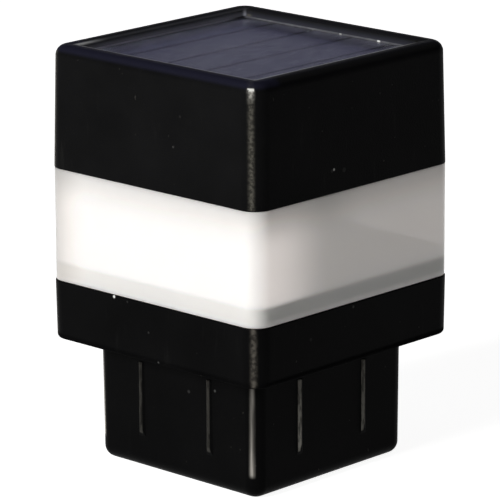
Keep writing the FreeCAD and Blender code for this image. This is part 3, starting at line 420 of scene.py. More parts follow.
# Pale painted highlight on the window's edge, on the two front sides.
forward = math_node(tree, "MAXIMUM", x, math_node(tree, "MULTIPLY", y, -1))
window_edge_highlight = math_node(tree, "MULTIPLY", fade(tree, part.out, WINDOW_SIDE, 0.3, 1.3, 1, 0),
                    fade(tree, forward, 0, 16, 25, 0, 1), fade(tree, y, 0, 18, 24.5, 1, 0),
                    fade(tree, level, HOUSING_TOP, -0.7, -0.5, 0, 1))
tone = mix(tree, window_edge_highlight, tone, WINDOW_EDGE_HIGHLIGHT)

# Painted light at the foot of the window's two back walls, paler on the left one.
wall_light = math_node(tree, "MULTIPLY", fade(tree, part.out, WINDOW_SIDE, 0.2, 1.4, 1, 0),
                  fade(tree, level, HOUSING_TOP, -1.6, -0.2, 1, 0.12),
                  fade(tree, forward, 0, 23.5, 24.5, 1, 0))
at_left = fade(tree, x, 0, -25.1, -24.5, 1, 0)
tone = mix(tree, wall_light, tone, mix(tree, at_left, BACK_WALL_LIGHT, LEFT_WALL_LIGHT))

# Painted highlight on the front corner under the top, and a small painted glint above it.
at_front = fade(tree, math_node(tree, "SUBTRACT", x, y), 0, 50, 52, 0, 1)
top_corner_highlight = math_node(tree, "MULTIPLY", corner_highlight, fade(tree, level, HOUSING_TOP, -4.6, -1.6, 0, 1), at_front)
tone = mix(tree, top_corner_highlight, tone, TOP_CORNER_HIGHLIGHT)
spot = math_node(tree, "MULTIPLY", fade(tree, level, HOUSING_TOP, -1.7, -1.4, 0, 1),
                 fade(tree, level, HOUSING_TOP, -1.2, -0.9, 1, 0),
                 in_range(tree, part.corner, 0.08, 0.35, 0, 1), at_front)
tone = mix(tree, spot, tone, CORNER_GLINT)
tone = specks(tree, part.place, tone, [
    (30.3, -7.1, 69.2, 0.35, 0.5), (30.3, -7.7, 69.0, 0.5, 0.03), (30.3, -4.0, 68.6, 0.7, 0.025),
    (7.0, -30.3, 74.3, 0.35, 0.05), (8.9, -30.3, 80.9, 0.5, 0.02), (-2.6, -30.0, 89.6, 0.5, 0.12),
    (-1.7, -30.1, 89.3, 0.4, 0.09), (30.2, -29.3, 78.4, 0.5, 0.05)])
glint_and_top_highlight = math_node(tree, "MAXIMUM", spot, top_corner_highlight)
only_corner_highlight = math_node(tree, "MAXIMUM", math_node(tree, "SUBTRACT", corner_highlight, glint_and_top_highlight), 0)
finish_black(part, tone, only_corner_highlight, HOUSING_CORNER_HIGHLIGHT, 0.05 * MM)
dress(part.made, "top_housing")

# %% [markdown]
# The base is smoother. Its painted corner highlight stops short of the shoulder, the face
# that rests on the post, and that face is duller.

# %% Base
BASE_CORNER_HIGHLIGHT = (0.115, 0.104, 0.089)
BASE_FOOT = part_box("post_plug")[1][2]

part = black_plastic("base_black", (0.003, 0.003, 0.0031), roughness=0.4, grain=2200, middle=-0.9, reach=1.9)
tone = specks(part.tree, part.place, part.tone, [
    (-10.5, -30.5, 39.4, 0.45, 0.85), (-6.6, -30.5, 39.0, 0.3, 0.04), (2.2, -30.5, 27.5, 0.4, 0.06),
    (-0.5, -30.5, 33.5, 0.35, 0.03), (30.5, -1.3, 38.9, 0.4, 0.05), (30.5, -14.3, 34.6, 0.5, 0.02)])
# Painted corner highlight, starting just above the shoulder.
corner_highlight = math_node(part.tree, "MULTIPLY", part.corner, fade(part.tree, part.level, BASE_FOOT, 0.1, 0.7, 0, 1))
dull = fade(part.tree, part.level, BASE_FOOT, 0.9, 1.8, 0.5, 0)
finish_black(part, tone, corner_highlight, BASE_CORNER_HIGHLIGHT, 0.02 * MM, dull)
dress(part.made, "base_frame")

# %% [markdown]
# The plug's corners carry a painted highlight, brightest near the foot and drawn out in
# upright streaks. Its ribs carry a painted highlight too, on one flank: a point high on a
# rib is further out than the face, and a remainder of its place along the face tells on
# which flank of the rib it lies. On the Y faces the painted highlight is fainter, and it
# reaches past the crest.

# %% Plug
PLUG_CORNER_HIGHLIGHT = (0.97, 0.91, 0.82)
X_FACE_RIB_HIGHLIGHT, Y_FACE_RIB_HIGHLIGHT = (0.24, 0.23, 0.205), (0.047, 0.045, 0.04)
RIB_OFFSET, RIB_HALF = 9.9 * MM, 1.0 * MM
PAST_CREST = 0.42 * MM
RIB_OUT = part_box("post_plug")[1][0]

part = black_plastic("plug_black", (0.0026, 0.0026, 0.0027), roughness=0.4, grain=2200,
                     middle=-1.05, reach=1.4, rubbed=0.1, streak=0.06)
tree = part.tree
# Painted corner highlight, brightest near the foot.
corner_highlight = math_node(tree, "MULTIPLY", part.corner, fade(tree, part.level, 0, 5.5, 12.5, 1, 0.4),
                 fade(tree, part.level, 0, 13, 26, 1, 0.5), fade(tree, part.level, 0, 4.4, 5.6, 0, 1))

# Painted highlight on one flank of each rib, brighter on the X faces.
on_y_face = fade(tree, math_node(tree, "SUBTRACT", part.y_out, part.x_out), 0, -1, 1, 0, 1)
on_x_face = math_node(tree, "SUBTRACT", 1, on_y_face)
sideways = math_node(tree, "ADD", math_node(tree, "MULTIPLY", part.x, on_y_face),
                     math_node(tree, "MULTIPLY", part.y, on_x_face), RIB_OFFSET + RIB_HALF)
over_rib = math_node(tree, "FLOORED_MODULO", sideways, 2 * RIB_OFFSET)
over_rib = math_node(tree, "SUBTRACT", over_rib, math_node(tree, "MULTIPLY", on_y_face, PAST_CREST))
grit = noise(tree, stretched(tree, part.place, 1, 1, 0.25), 1800, 3)
rib_highlight = math_node(tree, "MULTIPLY", fade(tree, part.out, RIB_OUT, -0.5, -0.4, 0, 1),
                   fade(tree, over_rib, 0, 0.88, 1.04, 1, 0), in_range(tree, grit, 0.35, 0.62, 0.35, 1.1))
tone = mix(tree, rib_highlight, part.tone, mix(tree, on_y_face, X_FACE_RIB_HIGHLIGHT, Y_FACE_RIB_HIGHLIGHT))
tone = specks(tree, part.place, tone, [(11.6, -23.2, 21.7, 0.4, 0.06), (4.0, -23.2, 20.0, 0.5, 0.03)])
finish_black(part, tone, corner_highlight, PLUG_CORNER_HIGHLIGHT, 0.02 * MM)
dress(part.made, "post_plug")

# %% [markdown]
# ### Frosted lens
#
# The lens is a square tube of milky plastic, two millimetres thick. Subsurface scattering
# softens its shading round the corners. Daylight that has gone in through the front wall
# also fills the tube and comes out again all round, and a weak emission stands for it. It
# is strongest near the front wall, fades under the housing, and stops at the black collar
# of the base behind the lens, which so shows as a grey band. The cut edge at the very
# bottom gathers a little light of its own, and a slanting fold of light crosses the right
# side near its top.
# The colour is painted with shade as well: darker towards the left edge and under the housing, and a grey
# band of painted shade where the collar stands behind the lens.

# %% Frosted lens
MILK_DEEP, MILK_LIGHT = (0.925, 0.9, 0.86), (0.94, 0.915, 0.875)
COLLAR_SHADE = (0.94, 0.895, 0.83)
SHADED_LENS = (0.3, 0.29, 0.28)
DAYLIGHT = (1, 0.905, 0.868, 1)
FOLD_SLOPE = 0.36
LENS_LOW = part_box("lens")[0]
LENS_FRONT, LENS_FOOT, LENS_HEAD = LENS_LOW[1], LENS_LOW[2], HOUSING_FOOT

frosted, tree, shader, place = start_finish("frosted_lens", (0.93, 0.905, 0.865), 0.3)
shader.inputs["Subsurface Weight"].default_value = 1.0
shader.inputs["Subsurface Radius"].default_value = (1, 1, 0.95)
shader.inputs["Subsurface Scale"].default_value = 3.4 * MM
x, y, level = (axis_of(tree, place, axis) for axis in "XYZ")
milk = ramp_between(tree, noise(tree, place, 90, 3), 0.3, 0.7, MILK_DEEP, MILK_LIGHT)
# Painted shade: a grey band over the collar, and darker towards the left edge and under the housing.
collar_shade = fade(tree, level, LENS_FOOT, 3.3, 4.7, 1, 0)
shade = math_node(tree, "ADD", fade(tree, x, 0, -30.5, -18, 0.62, 0),
                  fade(tree, level, LENS_HEAD, -7, 0, 0, 0.15))
paint(tree, shader, mix(tree, shade, mix(tree, collar_shade, milk, COLLAR_SHADE), SHADED_LENS))

near = fade(tree, y, LENS_FRONT, 0.5, 4, 0.24, 0.42)
far = fade(tree, y, LENS_FRONT, 3.5, 23, 0.4, 0.115)
inside = math_node(tree, "MULTIPLY", math_node(tree, "MINIMUM", near, far),
                   fade(tree, level, LENS_FOOT, 3.5, 4.9, 0, 1), fade(tree, level, LENS_HEAD, -9, 0, 1, 0.25),
                   fade(tree, x, 0, -30.5, -24, 0.2, 1), fade(tree, y, 0, 26.5, 30.5, 1, 0.6))
slant = math_node(tree, "ADD", level, math_node(tree, "MULTIPLY", y, FOLD_SLOPE))
fold = math_node(tree, "MULTIPLY", fade(tree, slant, LENS_HEAD, -8.3, -7.1, 0, 0.045),
                 fade(tree, y, 0, -12, 4, 0, 1), fade(tree, x, 0, 0, 28, 0, 1))
foot = fade(tree, level, LENS_FOOT, 0.4, 1.6, 0.08, 0)
front_band = math_node(tree, "MULTIPLY", collar_shade, fade(tree, y, LENS_FRONT, 0.5, 2, 0.07, 0))
shader.inputs["Emission Color"].default_value = DAYLIGHT
tree.links.new(math_node(tree, "ADD", inside, fold, foot, front_band), shader.inputs["Emission Strength"])
bump(tree, shader, noise(tree, place, 1500, 2), 0.004 * MM)
dress(frosted, "lens")

# %% [markdown]
# ### Solar panel
#
# Five strips of cut silicon lie under a clear sheet. Silicon grows in crystals that
# each catch the light in their own way, so a cell pattern gives every crystal its own
# shade of blue or purple. Fine silver lines cross each strip, and the gaps between the
# strips are dark. The silicon is painted paler towards the window's two back walls, as
# painted light.

# %% Silicon
CRYSTALS_A_METRE = 520
FINGER_PITCH = 2.1 * MM
STRIP_COUNT, STRIP_GAP = 5, 0.5 * MM
SILICON_PAINTED_LIGHT = (0.31, 0.31, 0.37)
GAP_TONE = (0.045, 0.045, 0.047)
low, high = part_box("solar_strips")
STRIP_PITCH = (high[0] - low[0] + STRIP_GAP) / STRIP_COUNT

silicon, tree, shader, place = start_finish("silicon", (0.045, 0.042, 0.08), 0.4)
x, y = axis_of(tree, place, "X"), axis_of(tree, place, "Y")
crystals = add_node(tree, "ShaderNodeTexVoronoi", {
    "Scale": CRYSTALS_A_METRE, "Vector": stretched(tree, place, 1, 0.6, 0)}).outputs["Color"]
shade, tint = axis_of(tree, crystals, "X"), axis_of(tree, crystals, "Y")
tone = ramp_between(tree, shade, 0.0, 1.0, (0.098, 0.098, 0.112), (0.132, 0.13, 0.165))
tone = mix(tree, in_range(tree, tint, 0.75, 1.0, 0, 0.5), tone, (0.102, 0.102, 0.11))
# Painted light by the window's two back walls.
light_by_wall = math_node(tree, "MAXIMUM", fade(tree, x, 0, -22.5, -16.5, 0.95, 0),
                    fade(tree, y, 0, 18.5, 25.5, 0, 0.8))
tone = mix(tree, light_by_wall, tone, SILICON_PAINTED_LIGHT)
from_finger = math_node(tree, "PINGPONG", y, FINGER_PITCH / 2)
tone = mix(tree, fade(tree, from_finger, 0, 0.06, 0.1, 0.35, 0), tone, (0.3, 0.3, 0.31))
from_gap = math_node(tree, "PINGPONG", math_node(tree, "SUBTRACT", x, STRIP_PITCH / 2), STRIP_PITCH / 2)
tone = mix(tree, fade(tree, from_gap, 0, 0.5, 1.3, 0.75, 0), tone, GAP_TONE)
paint(tree, shader, tone)
roughen(tree, shader, shade, 0, 1, 0.3, 0.5)
dress(silicon, "solar_strips")

# %% [markdown]
# Several small parts have a finish whose colour and relief both follow one noise, so one
# function makes them all, and the panel's board is the first. The links between the
# strips are tinned copper with a soft ripple. The seal under the window's edge is a dull
# grey adhesive, painted pale on the left as painted light, and two specks of dust lie on it.

# %% Panel board, links and seal
def grained_finish(name, first, second, roughness, scale, detail, depth, stretch=(1, 1, 1)):
    """Finish between two colours, with a relief of the given depth, in metres."""
    made, tree, shader, place = start_finish(name, first, roughness)
    grain = noise(tree, stretched(tree, place, *stretch), scale, detail)
    paint(tree, shader, ramp_between(tree, grain, 0.3, 0.7, first, second))
    bump(tree, shader, grain, depth)
    return made


backing = grained_finish("panel_backing", (0.05, 0.05, 0.06), (0.065, 0.065, 0.075), 0.5, 2500, 2, 0.02 * MM,
                         (1, 1, 0.2))
dress(backing, "panel_board")

tinned, tree, shader, place = start_finish("tinned_ribbon", (0.72, 0.72, 0.7), 0.32, metallic=1)
ripple = noise(tree, place, 900, 3)
roughen(tree, shader, ripple, 0.3, 0.7, 0.22, 0.45)
bump(tree, shader, ripple, 0.03 * MM)
dress(tinned, "strip_links", "led_legs")

adhesive, tree, shader, place = start_finish("pale_adhesive", (0.2, 0.2, 0.21), 0.55)
cloud = noise(tree, place, 400, 3)
tone = ramp_between(tree, cloud, 0.3, 0.7, (0.075, 0.075, 0.085), (0.16, 0.16, 0.17))
# Painted light on the seal's left part.
at_left = math_node(tree, "MULTIPLY", fade(tree, axis_of(tree, place, "X"), 0, -24.5, -23.5, 1, 0),
                    fade(tree, axis_of(tree, place, "Y"), 0, 19, 23.5, 1, 0))
tone = mix(tree, at_left, tone, (0.75, 0.75, 0.8))
paint(tree, shader, specks(tree, place, tone, [(13.7, 25.4, 88.5, 0.6, 0.9), (2.8, 25.4, 88.5, 0.5, 0.5)]))
bump(tree, shader, cloud, 0.05 * MM)
dress(adhesive, "panel_seal")

# %% [markdown]
# The clear sheet over the silicon touches it in the CAD model, face on face. A ray that
# meets two faces in one place can't tell which comes first, so the sheet is made again
# here with its underside a hair above the silicon. It is a cube whose upright edges are
# bevelled to the panel's corner radius, and then the top edge is eased a little.

# %% Clear sheet
def new_piece(name, shape, finish, body):
    """Object from a bmesh, with its finish, that moves with a body."""
    mesh = bpy.data.meshes.new(name)
    bmesh.ops.recalc_face_normals(shape, faces=shape.faces)
    shape.to_mesh(mesh)
    shape.free()
    mesh.materials.append(finish)
    made = bpy.data.objects.new(name, mesh)
    bpy.context.collection.objects.link(made)
    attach(made, body)
    print(name, "on", body, "with", len(mesh.polygons), "faces")
    return made


def add_block(shape, low, high):
    """Box between two corners, in metres."""
    size = Vector(high) - Vector(low)
    middle = (Vector(high) + Vector(low)) / 2
    verts = bmesh.ops.create_cube(shape, size=1)["verts"]
    bmesh.ops.scale(shape, vec=size, verts=verts)
    bmesh.ops.translate(shape, vec=middle, verts=verts)


def ease(shape, edges, width, segments=2):
    """Rounds the edges."""
    bmesh.ops.bevel(shape, geom=edges, offset=width, offset_type="OFFSET", segments=segments, profile=0.5,
                    affect="EDGES", material=-1)


def upright_edges(shape):
    """Edges that run along Z."""
    return [e for e in shape.edges if abs((e.verts[0].co - e.verts[1].co).normalized().z) > 0.9]


def edges_at(shape, level):
    """Edges that lie at one height."""
    return [e for e in shape.edges if all(abs(v.co.z - level) < 1e-6 for v in e.verts)]


def smooth(piece, angle=40):
    """Smooth shading, with edges sharper than the angle left crisp."""
    piece.data.polygons.foreach_set("use_smooth", [True] * len(piece.data.polygons))
    piece.data.set_sharp_from_angle(angle=math.radians(angle))


SHEET_GAP = 0.06 * MM
PANEL_CORNER = 2.4 * MM
EASED_EDGE = 0.08 * MM

clear, tree, shader, place = start_finish("clear_sheet", (0.96, 0.97, 1.0), 0.12)
shader.inputs["Transmission Weight"].default_value = 1.0
shader.inputs["IOR"].default_value = 1.15
roughen(tree, shader, noise(tree, place, 90, 2), 0.3, 0.75, 0.1, 0.14)

low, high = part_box("panel_cover")
shape = bmesh.new()
add_block(shape, (low[0], low[1], low[2] + SHEET_GAP), high)
ease(shape, upright_edges(shape), PANEL_CORNER, 8)
ease(shape, edges_at(shape, high[2]), EASED_EDGE)
clear_cover = new_piece("clear_cover", shape, clear, "head")
smooth(clear_cover, 15)
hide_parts("panel_cover")

# %% [markdown]
# ### White plastic of the inside
#
# The tray, the battery door and the low pyramid on the base are white, to send the
# lamps' light out through the lens. They are matt, with a faint moulded grain, and a
# breath of grey where dust settles.

# %% White plastic
white_plastic, tree, shader, place = start_finish("white_plastic", (0.87, 0.87, 0.84), 0.5)
cloud = noise(tree, place, 120, 4)
paint(tree, shader, ramp_between(tree, cloud, 0.3, 0.75, (0.88, 0.88, 0.85), (0.8, 0.8, 0.77)))
fine = noise(tree, place, 3000, 2)
roughen(tree, shader, fine, 0.3, 0.7, 0.44, 0.58)
bump(tree, shader, fine, 0.01 * MM)
dress(white_plastic, "head_tray", "battery_door", "floor_reflector")

# %% [markdown]
# ### Screws, cell and contacts
#
# The screws are zinc plated: a cool metal with a fine mottle. The can of the cell and
# its contacts are brighter nickel with rubs along X, the way they slide in. The cell
# wears a plain green sleeve with a gold band at its plus end.

# %% Metals
zinc, tree, shader, place = start_finish("zinc_plate", (0.62, 0.63, 0.66), 0.35, metallic=1)
mottle = noise(tree, place, 1400, 3)
paint(tree, shader, ramp_between(tree, mottle, 0.3, 0.7, (0.56, 0.57, 0.6), (0.7, 0.7, 0.7)))
roughen(tree, shader, mottle, 0.3, 0.7, 0.28, 0.42)
bump(tree, shader, noise(tree, place, 4000, 1), 0.01 * MM)
dress(zinc, "plug_screws", "reflector_screws", "tray_screws", "board_screws", "door_screw")

nickel, tree, shader, place = start_finish("nickel_plate", (0.74, 0.72, 0.67), 0.25, metallic=1)
rubs = noise(tree, stretched(tree, place, 0.1, 1, 1), 2500, 2)
roughen(tree, shader, rubs, 0.35, 0.7, 0.18, 0.38)
bump(tree, shader, rubs, 0.008 * MM)
dress(nickel, "battery_can", "battery_contact_plus", "battery_contact_minus")

# %% Sleeve of the cell
GOLD_FROM = 16.5            # millimetres along X
GOLD = (0.5, 0.36, 0.12)

sleeve, tree, shader, place = start_finish("cell_sleeve", (0.06, 0.3, 0.11), 0.3)
plus_end = fade(tree, axis_of(tree, place, "X"), 0, GOLD_FROM, GOLD_FROM + 0.1, 0, 1)
shrink = noise(tree, stretched(tree, place, 0.3, 1, 1), 900, 2)
green = ramp_between(tree, shrink, 0.3, 0.7, (0.05, 0.27, 0.1), (0.075, 0.33, 0.13))
paint(tree, shader, mix(tree, plus_end, green, GOLD))
bump(tree, shader, shrink, 0.02 * MM)
dress(sleeve, "battery_sleeve")

# %% [markdown]
# ### Circuit board
#
# A board is glass cloth under green solder mask. A fine wave pattern shows the cloth,
# and tracks stand out as paler green where copper lies under the mask. Here the tracks
# are the mortar of a brick texture with wide, offset rows, which reads as runs and gaps
# without drawing each one. The choke is pale green with four colour rings, and the
# capacitor a blue can with a pale stripe down one side and a bare top.

# %% Board and chip
TRACKS = {"Scale": 330, "Mortar Size": 0.06, "Brick Width": 1.6, "Row Height": 0.42,
          "Color1": (0.018, 0.12, 0.05, 1), "Color2": (0.022, 0.14, 0.06, 1), "Mortar": (0.05, 0.26, 0.12, 1)}

green_board, tree, shader, place = start_finish("green_board", (0.02, 0.14, 0.06), 0.3)
cloth = add_node(tree, "ShaderNodeTexWave", {"Scale": 900, "Distortion": 1, "Vector": place}).outputs["Fac"]
tracks = add_node(tree, "ShaderNodeTexBrick", {**TRACKS, "Vector": place}).outputs
paint(tree, shader, mix(tree, in_range(tree, cloth, 0.3, 0.7, 0, 0.25), tracks["Color"], (0.03, 0.18, 0.08)))
bump(tree, shader, tracks["Fac"], 0.03 * MM)
dress(green_board, "circuit_board")

chip_black = grained_finish("chip_black", (0.014, 0.014, 0.015), (0.028, 0.028, 0.03), 0.6, 6000, 2,
                            0.02 * MM)
dress(chip_black, "controller_chip")

# %% Choke and capacitor
CHOKE_GREEN = (0.25, 0.5, 0.32)
CHOKE_RINGS = ((-1.8, (0.12, 0.05, 0.02)), (-0.6, (0.02, 0.02, 0.02)), (0.6, (0.5, 0.2, 0.02)),
               (1.9, (0.55, 0.42, 0.16)))
CAN_BLUE, CAN_STRIPE, CAN_TOP = (0.03, 0.06, 0.22), (0.45, 0.5, 0.6), (0.6, 0.6, 0.6)

low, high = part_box("choke")
choke_green, tree, shader, place = start_finish("choke_green", CHOKE_GREEN, 0.35)
along = math_node(tree, "SUBTRACT", axis_of(tree, place, "X"), (low[0] + high[0]) / 2)
tone = CHOKE_GREEN
for offset, ring in CHOKE_RINGS:
    away = math_node(tree, "ABSOLUTE", math_node(tree, "SUBTRACT", along, offset * MM), 0)
    tone = mix(tree, fade(tree, away, 0, 0.28, 0.34, 1, 0), tone, ring)
paint(tree, shader, tone)
bump(tree, shader, noise(tree, place, 1500, 2), 0.02 * MM)
dress(choke_green, "choke")

low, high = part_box("capacitor")
can_blue, tree, shader, place = start_finish("capacitor_blue", CAN_BLUE, 0.3)
beside = fade(tree, axis_of(tree, place, "X"), low[0], 0.6, 0.7, 1, 0)
above = fade(tree, axis_of(tree, place, "Z"), high[2], -0.25, -0.2, 0, 1)
paint(tree, shader, mix(tree, above, mix(tree, beside, CAN_BLUE, CAN_STRIPE), CAN_TOP))
bump(tree, shader, noise(tree, place, 2500, 2), 0.01 * MM)
dress(can_blue, "capacitor")

# %% [markdown]
# The leads are glossy coloured insulation. The seal is dull rubber, and the pad on the
# door is foam, whose cells are a cell pattern with painted shade in its pits. The switch
# is a rolled tin case with a black slider.

# %% Leads
def insulation(name, colour, bright):
    """Glossy plastic cover of a lead."""
    made, tree, shader, place = start_finish(name, colour, 0.35)
    paint(tree, shader, ramp_between(tree, noise(tree, place, 800, 2), 0.3, 0.7, colour, bright))
    bump(tree, shader, noise(tree, place, 3000, 1), 0.01 * MM)
    return made


red = insulation("red_insulation", (0.5, 0.02, 0.02), (0.65, 0.045, 0.03))
black = insulation("black_insulation", (0.015, 0.015, 0.016), (0.03, 0.03, 0.03))
dress(red, "panel_lead_red", "battery_lead_red")
dress(black, "panel_lead_black", "battery_lead_black")

# %% Rubber, foam and switch
rubber = grained_finish("seal_rubber", (0.022, 0.022, 0.022), (0.045, 0.045, 0.045), 0.7, 2600, 3, 0.03 * MM)
dress(rubber, "head_seal")

foam, tree, shader, place = start_finish("foam", (0.1, 0.1, 0.1), 0.95)
cells = add_node(tree, "ShaderNodeTexVoronoi", {"Scale": 2600, "Vector": place}).outputs["Distance"]
# Painted shade in the pits of the foam's cells.
paint(tree, shader, ramp_between(tree, cells, 0.1, 0.7, (0.02, 0.02, 0.02), (0.15, 0.15, 0.15)))
bump(tree, shader, cells, 0.1 * MM)
dress(foam, "door_pad")

switch_case, tree, shader, place = start_finish("switch_case", (0.66, 0.66, 0.65), 0.35, metallic=1)
rolled = noise(tree, stretched(tree, place, 0.15, 1, 1), 2200, 2)
roughen(tree, shader, rolled, 0.3, 0.7, 0.28, 0.45)
bump(tree, shader, rolled, 0.01 * MM)
dress(switch_case, "switch_body")
knob_black = grained_finish("switch_black", (0.016, 0.016, 0.016), (0.032, 0.032, 0.032), 0.45, 4000, 2,
                            0.02 * MM)
dress(knob_black, "switch_slider")

# %% [markdown]
# ### Lamps
#
# Each lamp is a bullet of clear epoxy. Inside stand two leads, and on one of them a
# small bright cup holds the chip under a dab of yellow phosphor. The epoxy is a clear
# dielectric, so the cup that is added below shows through it.

# %% Lamp epoxy
epoxy, tree, shader, place = start_finish("lamp_epoxy", (0.98, 0.98, 0.95), 0.03)
shader.inputs["Transmission Weight"].default_value = 1.0
shader.inputs["IOR"].default_value = 1.5
roughen(tree, shader, noise(tree, place, 1500, 2), 0.3, 0.7, 0.02, 0.06)
dress(epoxy, "led_lamps")

# %% [markdown]
# The cup and its lead are one spun profile: a short line of vertices turned through a
# full circle about the cup's axis. The second lead is a flat blade beside it.

# %% Lamp cups
LAMP_FLANGE = 2.9 * MM      # radius of the lamp at its foot
CUP_ASIDE = 0.6 * MM        # from the lamp's axis to the cup's
# each point is a radius and a depth under the lamp's upper end, in millimetres
CUP_PROFILE = ((0.0, 5.1), (0.35, 5.1), (0.62, 5.75), (0.78, 5.75), (0.78, 5.55), (0.5, 4.4), (0.28, 4.1),
               (0.28, 0.4), (0.0, 0.4))
# two corners of the blade, from the lamp's axis and its upper end, in millimetres
BLADE = ((0.75, -0.25, -5.0), (1.35, 0.25, -0.4))
low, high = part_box("led_lamps")
LAMP_HALF_SPACING = (high[0] - low[0]) / 2 - LAMP_FLANGE
LAMP_Y = (low[1] + high[1]) / 2
LAMP_TOP = high[2]


def spun(shape, section, centre, axis, steps, closed=True):
    """Turns a line of points through a full circle. Closed joins its last point to its first."""
    verts = [shape.verts.new(point) for point in section]
    ends = verts[1:] + verts[:1] if closed else verts[1:]
    edges = [shape.edges.new(pair) for pair in zip(verts, ends)]
    bmesh.ops.spin(shape, geom=verts + edges, cent=centre, axis=axis, angle=2 * math.pi, steps=steps,
                   use_merge=True)


bright_metal, tree, shader, place = start_finish("bright_lead", (0.8, 0.8, 0.78), 0.2, metallic=1)
roughen(tree, shader, noise(tree, place, 5000, 2), 0.3, 0.7, 0.15, 0.3)
shape = bmesh.new()
for side in (-1, 1):
    x = side * LAMP_HALF_SPACING
    profile = [(x - CUP_ASIDE + r * MM, LAMP_Y, LAMP_TOP - z * MM) for r, z in CUP_PROFILE]
    spun(shape, profile, (x - CUP_ASIDE, LAMP_Y, 0), (0, 0, 1), steps=20, closed=False)
    add_block(shape, *[(x + a * MM, LAMP_Y + b * MM, LAMP_TOP + c * MM) for a, b, c in BLADE])
bmesh.ops.remove_doubles(shape, verts=shape.verts, dist=1e-6)
smooth(new_piece("lamp_cups", shape, bright_metal, "head"))

# %% [markdown]
# The dab is a small ball pressed to half its height, in the mouth of the cup.

# %% Phosphor
DAB_RADIUS = 0.56 * MM
DAB_DEPTH = 5.45 * MM       # under the lamp's upper end

phosphor, tree, shader, place = start_finish("phosphor", (0.85, 0.7, 0.12), 0.6)
powder = noise(tree, place, 5000, 3)
paint(tree, shader, ramp_between(tree, powder, 0.3, 0.7, (0.85, 0.62, 0.08), (0.9, 0.8, 0.2)))
shape = bmesh.new()
for side in (-1, 1):
    dab = bmesh.ops.create_uvsphere(shape, u_segments=16, v_segments=8, radius=DAB_RADIUS)["verts"]
    bmesh.ops.scale(shape, vec=(1, 1, 0.5), verts=dab)
    mouth = (side * LAMP_HALF_SPACING - CUP_ASIDE, LAMP_Y, LAMP_TOP - DAB_DEPTH)
    bmesh.ops.translate(shape, vec=mouth, verts=dab)
smooth(new_piece("lamp_phosphor", shape, phosphor, "head"))

# %% [markdown]
# ## Solder
#
# Where a lead or a leg meets its board, solder climbs it in a small bright cone. Each is
# a cone cut off short of its tip, and all of them are one mesh. Those on the circuit
# board stand up, and the two on the panel's board hang down from its underside.

# %% Solder joints
LEG_HALF_SPACING = 2.54 / 2
SWITCH_PINS = (-2.5, 0, 2.5)
board_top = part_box("circuit_board")[1][2]
panel_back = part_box("panel_board")[0][2]
# leads on the +X side: x and y in millimetres, the face, and 1 for a cone that stands up or -1 for down
LEAD_ENDS = ((15.3, -1.85, board_top, 1), (6.1, 14.15, board_top, 1), (17, 22, panel_back, -1))

solder, tree, shader, place = start_finish("solder", (0.7, 0.71, 0.72), 0.28, metallic=1)
roughen(tree, shader, noise(tree, place, 3500, 3), 0.3, 0.7, 0.18, 0.42)
bump(tree, shader, noise(tree, place, 2500, 2), 0.03 * MM)


def solder_cone(shape, x, y, level, radius, tall, upwards=1):
    """Cone of solder on a flat face. Radius and height are in millimetres."""
    made = bmesh.ops.create_cone(shape, cap_ends=True, segments=16, radius1=radius * MM,
                                 radius2=0.3 * radius * MM, depth=tall * MM)["verts"]
    if upwards < 0:
        bmesh.ops.rotate(shape, cent=(0, 0, 0), matrix=Matrix.Rotation(math.pi, 3, "X"), verts=made)
    bmesh.ops.translate(shape, vec=(x, y, level + upwards * tall * MM / 2), verts=made)


low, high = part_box("switch_body")
switch_y = (low[1] + high[1]) / 2
shape = bmesh.new()
for side in (-1, 1):
    for leg in (-LEG_HALF_SPACING, LEG_HALF_SPACING):
        solder_cone(shape, side * LAMP_HALF_SPACING + leg * MM, LAMP_Y, board_top, 0.9, 0.7)
for pin in SWITCH_PINS:
    solder_cone(shape, pin * MM, switch_y, board_top, 0.8, 0.6)
for side in (-1, 1):
    for x, y, level, upwards in LEAD_ENDS:
        solder_cone(shape, side * x * MM, y * MM, level, 0.85, 0.6, upwards)
smooth(new_piece("solder_joints", shape, solder, "head"))

# %% [markdown]
# ## Resistors and the cell's ring
#
# The board carries six chip resistors: a flat dark block with a tinned cap over each
# end. They are blocks with eased edges, and all the bodies are one mesh and all the caps
# another. The plus end of the cell has a thin paper ring round its button. It is a
# small rectangle turned through a full circle about the cell's axis.

# %% Resistors
RESISTORS = ((-6, 2.5), (6, 2.5), (0, 5.5), (-17.8, 1.8), (17.8, 1.8), (0, -2.5))
RESISTOR_LENGTH, RESISTOR_WIDTH, RESISTOR_HEIGHT = 2.0, 1.25, 0.5
CAP_LENGTH, CAP_PROUD = 0.4, 0.03
RESISTOR_EDGE = 0.06 * MM


def low_block(shape, x, y, length, proud=0.0):
    """Block as wide and tall as a resistor, on the board. All sizes are in millimetres."""
    half = Vector(((length / 2 + proud) * MM, (RESISTOR_WIDTH / 2 + proud) * MM, 0))
    centre = Vector((x * MM, y * MM, board_top))
    add_block(shape, centre - half, centre + half + Vector((0, 0, (RESISTOR_HEIGHT + proud) * MM)))


bodies, caps = bmesh.new(), bmesh.new()
for x, y in RESISTORS:
    low_block(bodies, x, y, RESISTOR_LENGTH)
    for end in (-1, 1):
        low_block(caps, x + end * (RESISTOR_LENGTH - CAP_LENGTH) / 2, y, CAP_LENGTH, CAP_PROUD)
ease(bodies, bodies.edges[:], RESISTOR_EDGE, 1)
ease(caps, caps.edges[:], RESISTOR_EDGE)
new_piece("resistor_bodies", bodies, chip_black, "head")
new_piece("resistor_caps", caps, solder, "head")

# %% Ring at the cell's plus end
# each point is a distance past the sleeve's end and a radius, in millimetres
RING_SECTION = ((0.01, 3.1), (0.13, 3.1), (0.13, 4.7), (0.01, 4.7))

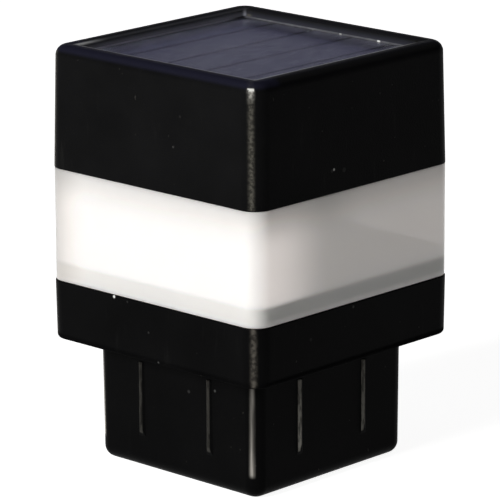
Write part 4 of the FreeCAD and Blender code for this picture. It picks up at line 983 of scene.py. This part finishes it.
paper_white = grained_finish("ring_paper", (0.66, 0.63, 0.55), (0.78, 0.76, 0.69), 0.8, 1800, 4, 0.02 * MM)
low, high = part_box("battery_sleeve")
cell_y, cell_z = (low[1] + high[1]) / 2, (low[2] + high[2]) / 2
shape = bmesh.new()
section = [(high[0] + x * MM, cell_y + r * MM, cell_z) for x, r in RING_SECTION]
spun(shape, section, (0, cell_y, cell_z), (1, 0, 0), steps=48)
bmesh.ops.remove_doubles(shape, verts=shape.verts, dist=1e-7)
smooth(new_piece("cell_ring", shape, paper_white, "head"))

# %% [markdown]
# ## Moulding marks
#
# Pins push a moulded plate out of its mould and leave faint round marks on its hidden
# face. The tray has four of them on its underside, each a low ring. A ring is again a
# small rectangle turned about its own axis.

# %% Marks of the mould's pins
PIN_PLACES = ((-9, 22), (9, 22), (-9, -23.4), (9, -23.4))
# each point is a radius and a height over the tray's underside, in millimetres
PIN_SECTION = ((1.35, 0.02), (1.5, 0.02), (1.5, -0.07), (1.35, -0.07))

tray_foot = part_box("head_tray")[0][2]
shape = bmesh.new()
for x, y in PIN_PLACES:
    section = [((x + r) * MM, y * MM, tray_foot + z * MM) for r, z in PIN_SECTION]
    spun(shape, section, (x * MM, y * MM, 0), (0, 0, 1), steps=32)
bmesh.ops.remove_doubles(shape, verts=shape.verts, dist=1e-7)
smooth(new_piece("tray_pin_marks", shape, white_plastic, "head"))

# %% [markdown]
# ## Raised marks
#
# The switch is worked from below, so the tray carries the words OFF and ON beside its
# slot, and the battery door shows which way round the cell goes. They are text objects
# made into meshes, turned to face down, and sunk half their thickness into the plastic
# they belong to, so that they read as moulded.

# %% Marks
MARK_HEIGHT = 0.18 * MM
WORD_SIZE, SIGN_SIZE = 2.4 * MM, 5 * MM
SIGN_ASIDE = 15 * MM


def marks_piece(name, marks, y, level, size, body):
    """One piece from several words that face down, each a word and its place along X."""
    shape = bmesh.new()
    for words, x in marks:
        text = bpy.data.curves.new("words", "FONT")
        text.body = words
        text.size = size
        text.extrude = MARK_HEIGHT
        text.resolution_u = 3
        text.align_x = "CENTER"
        text.align_y = "CENTER"
        holder = bpy.data.objects.new("words", text)
        mesh = bpy.data.meshes.new_from_object(holder)
        mesh.transform(Matrix.Translation((x, y, level)) @ Matrix.Rotation(math.pi, 4, "X"))
        shape.from_mesh(mesh)
        bpy.data.objects.remove(holder)
        bpy.data.curves.remove(text)
        bpy.data.meshes.remove(mesh)
    bmesh.ops.remove_doubles(shape, verts=shape.verts, dist=1e-7)
    new_piece(name, shape, white_plastic, body)


low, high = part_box("battery_door")
marks_piece("switch_words", (("OFF", -5.6 * MM), ("ON", 5.4 * MM)), switch_y, tray_foot, WORD_SIZE, "head")
marks_piece("cell_signs", (("+", SIGN_ASIDE), ("-", -SIGN_ASIDE)), (low[1] + high[1]) / 2, low[2], SIGN_SIZE,
            "door")
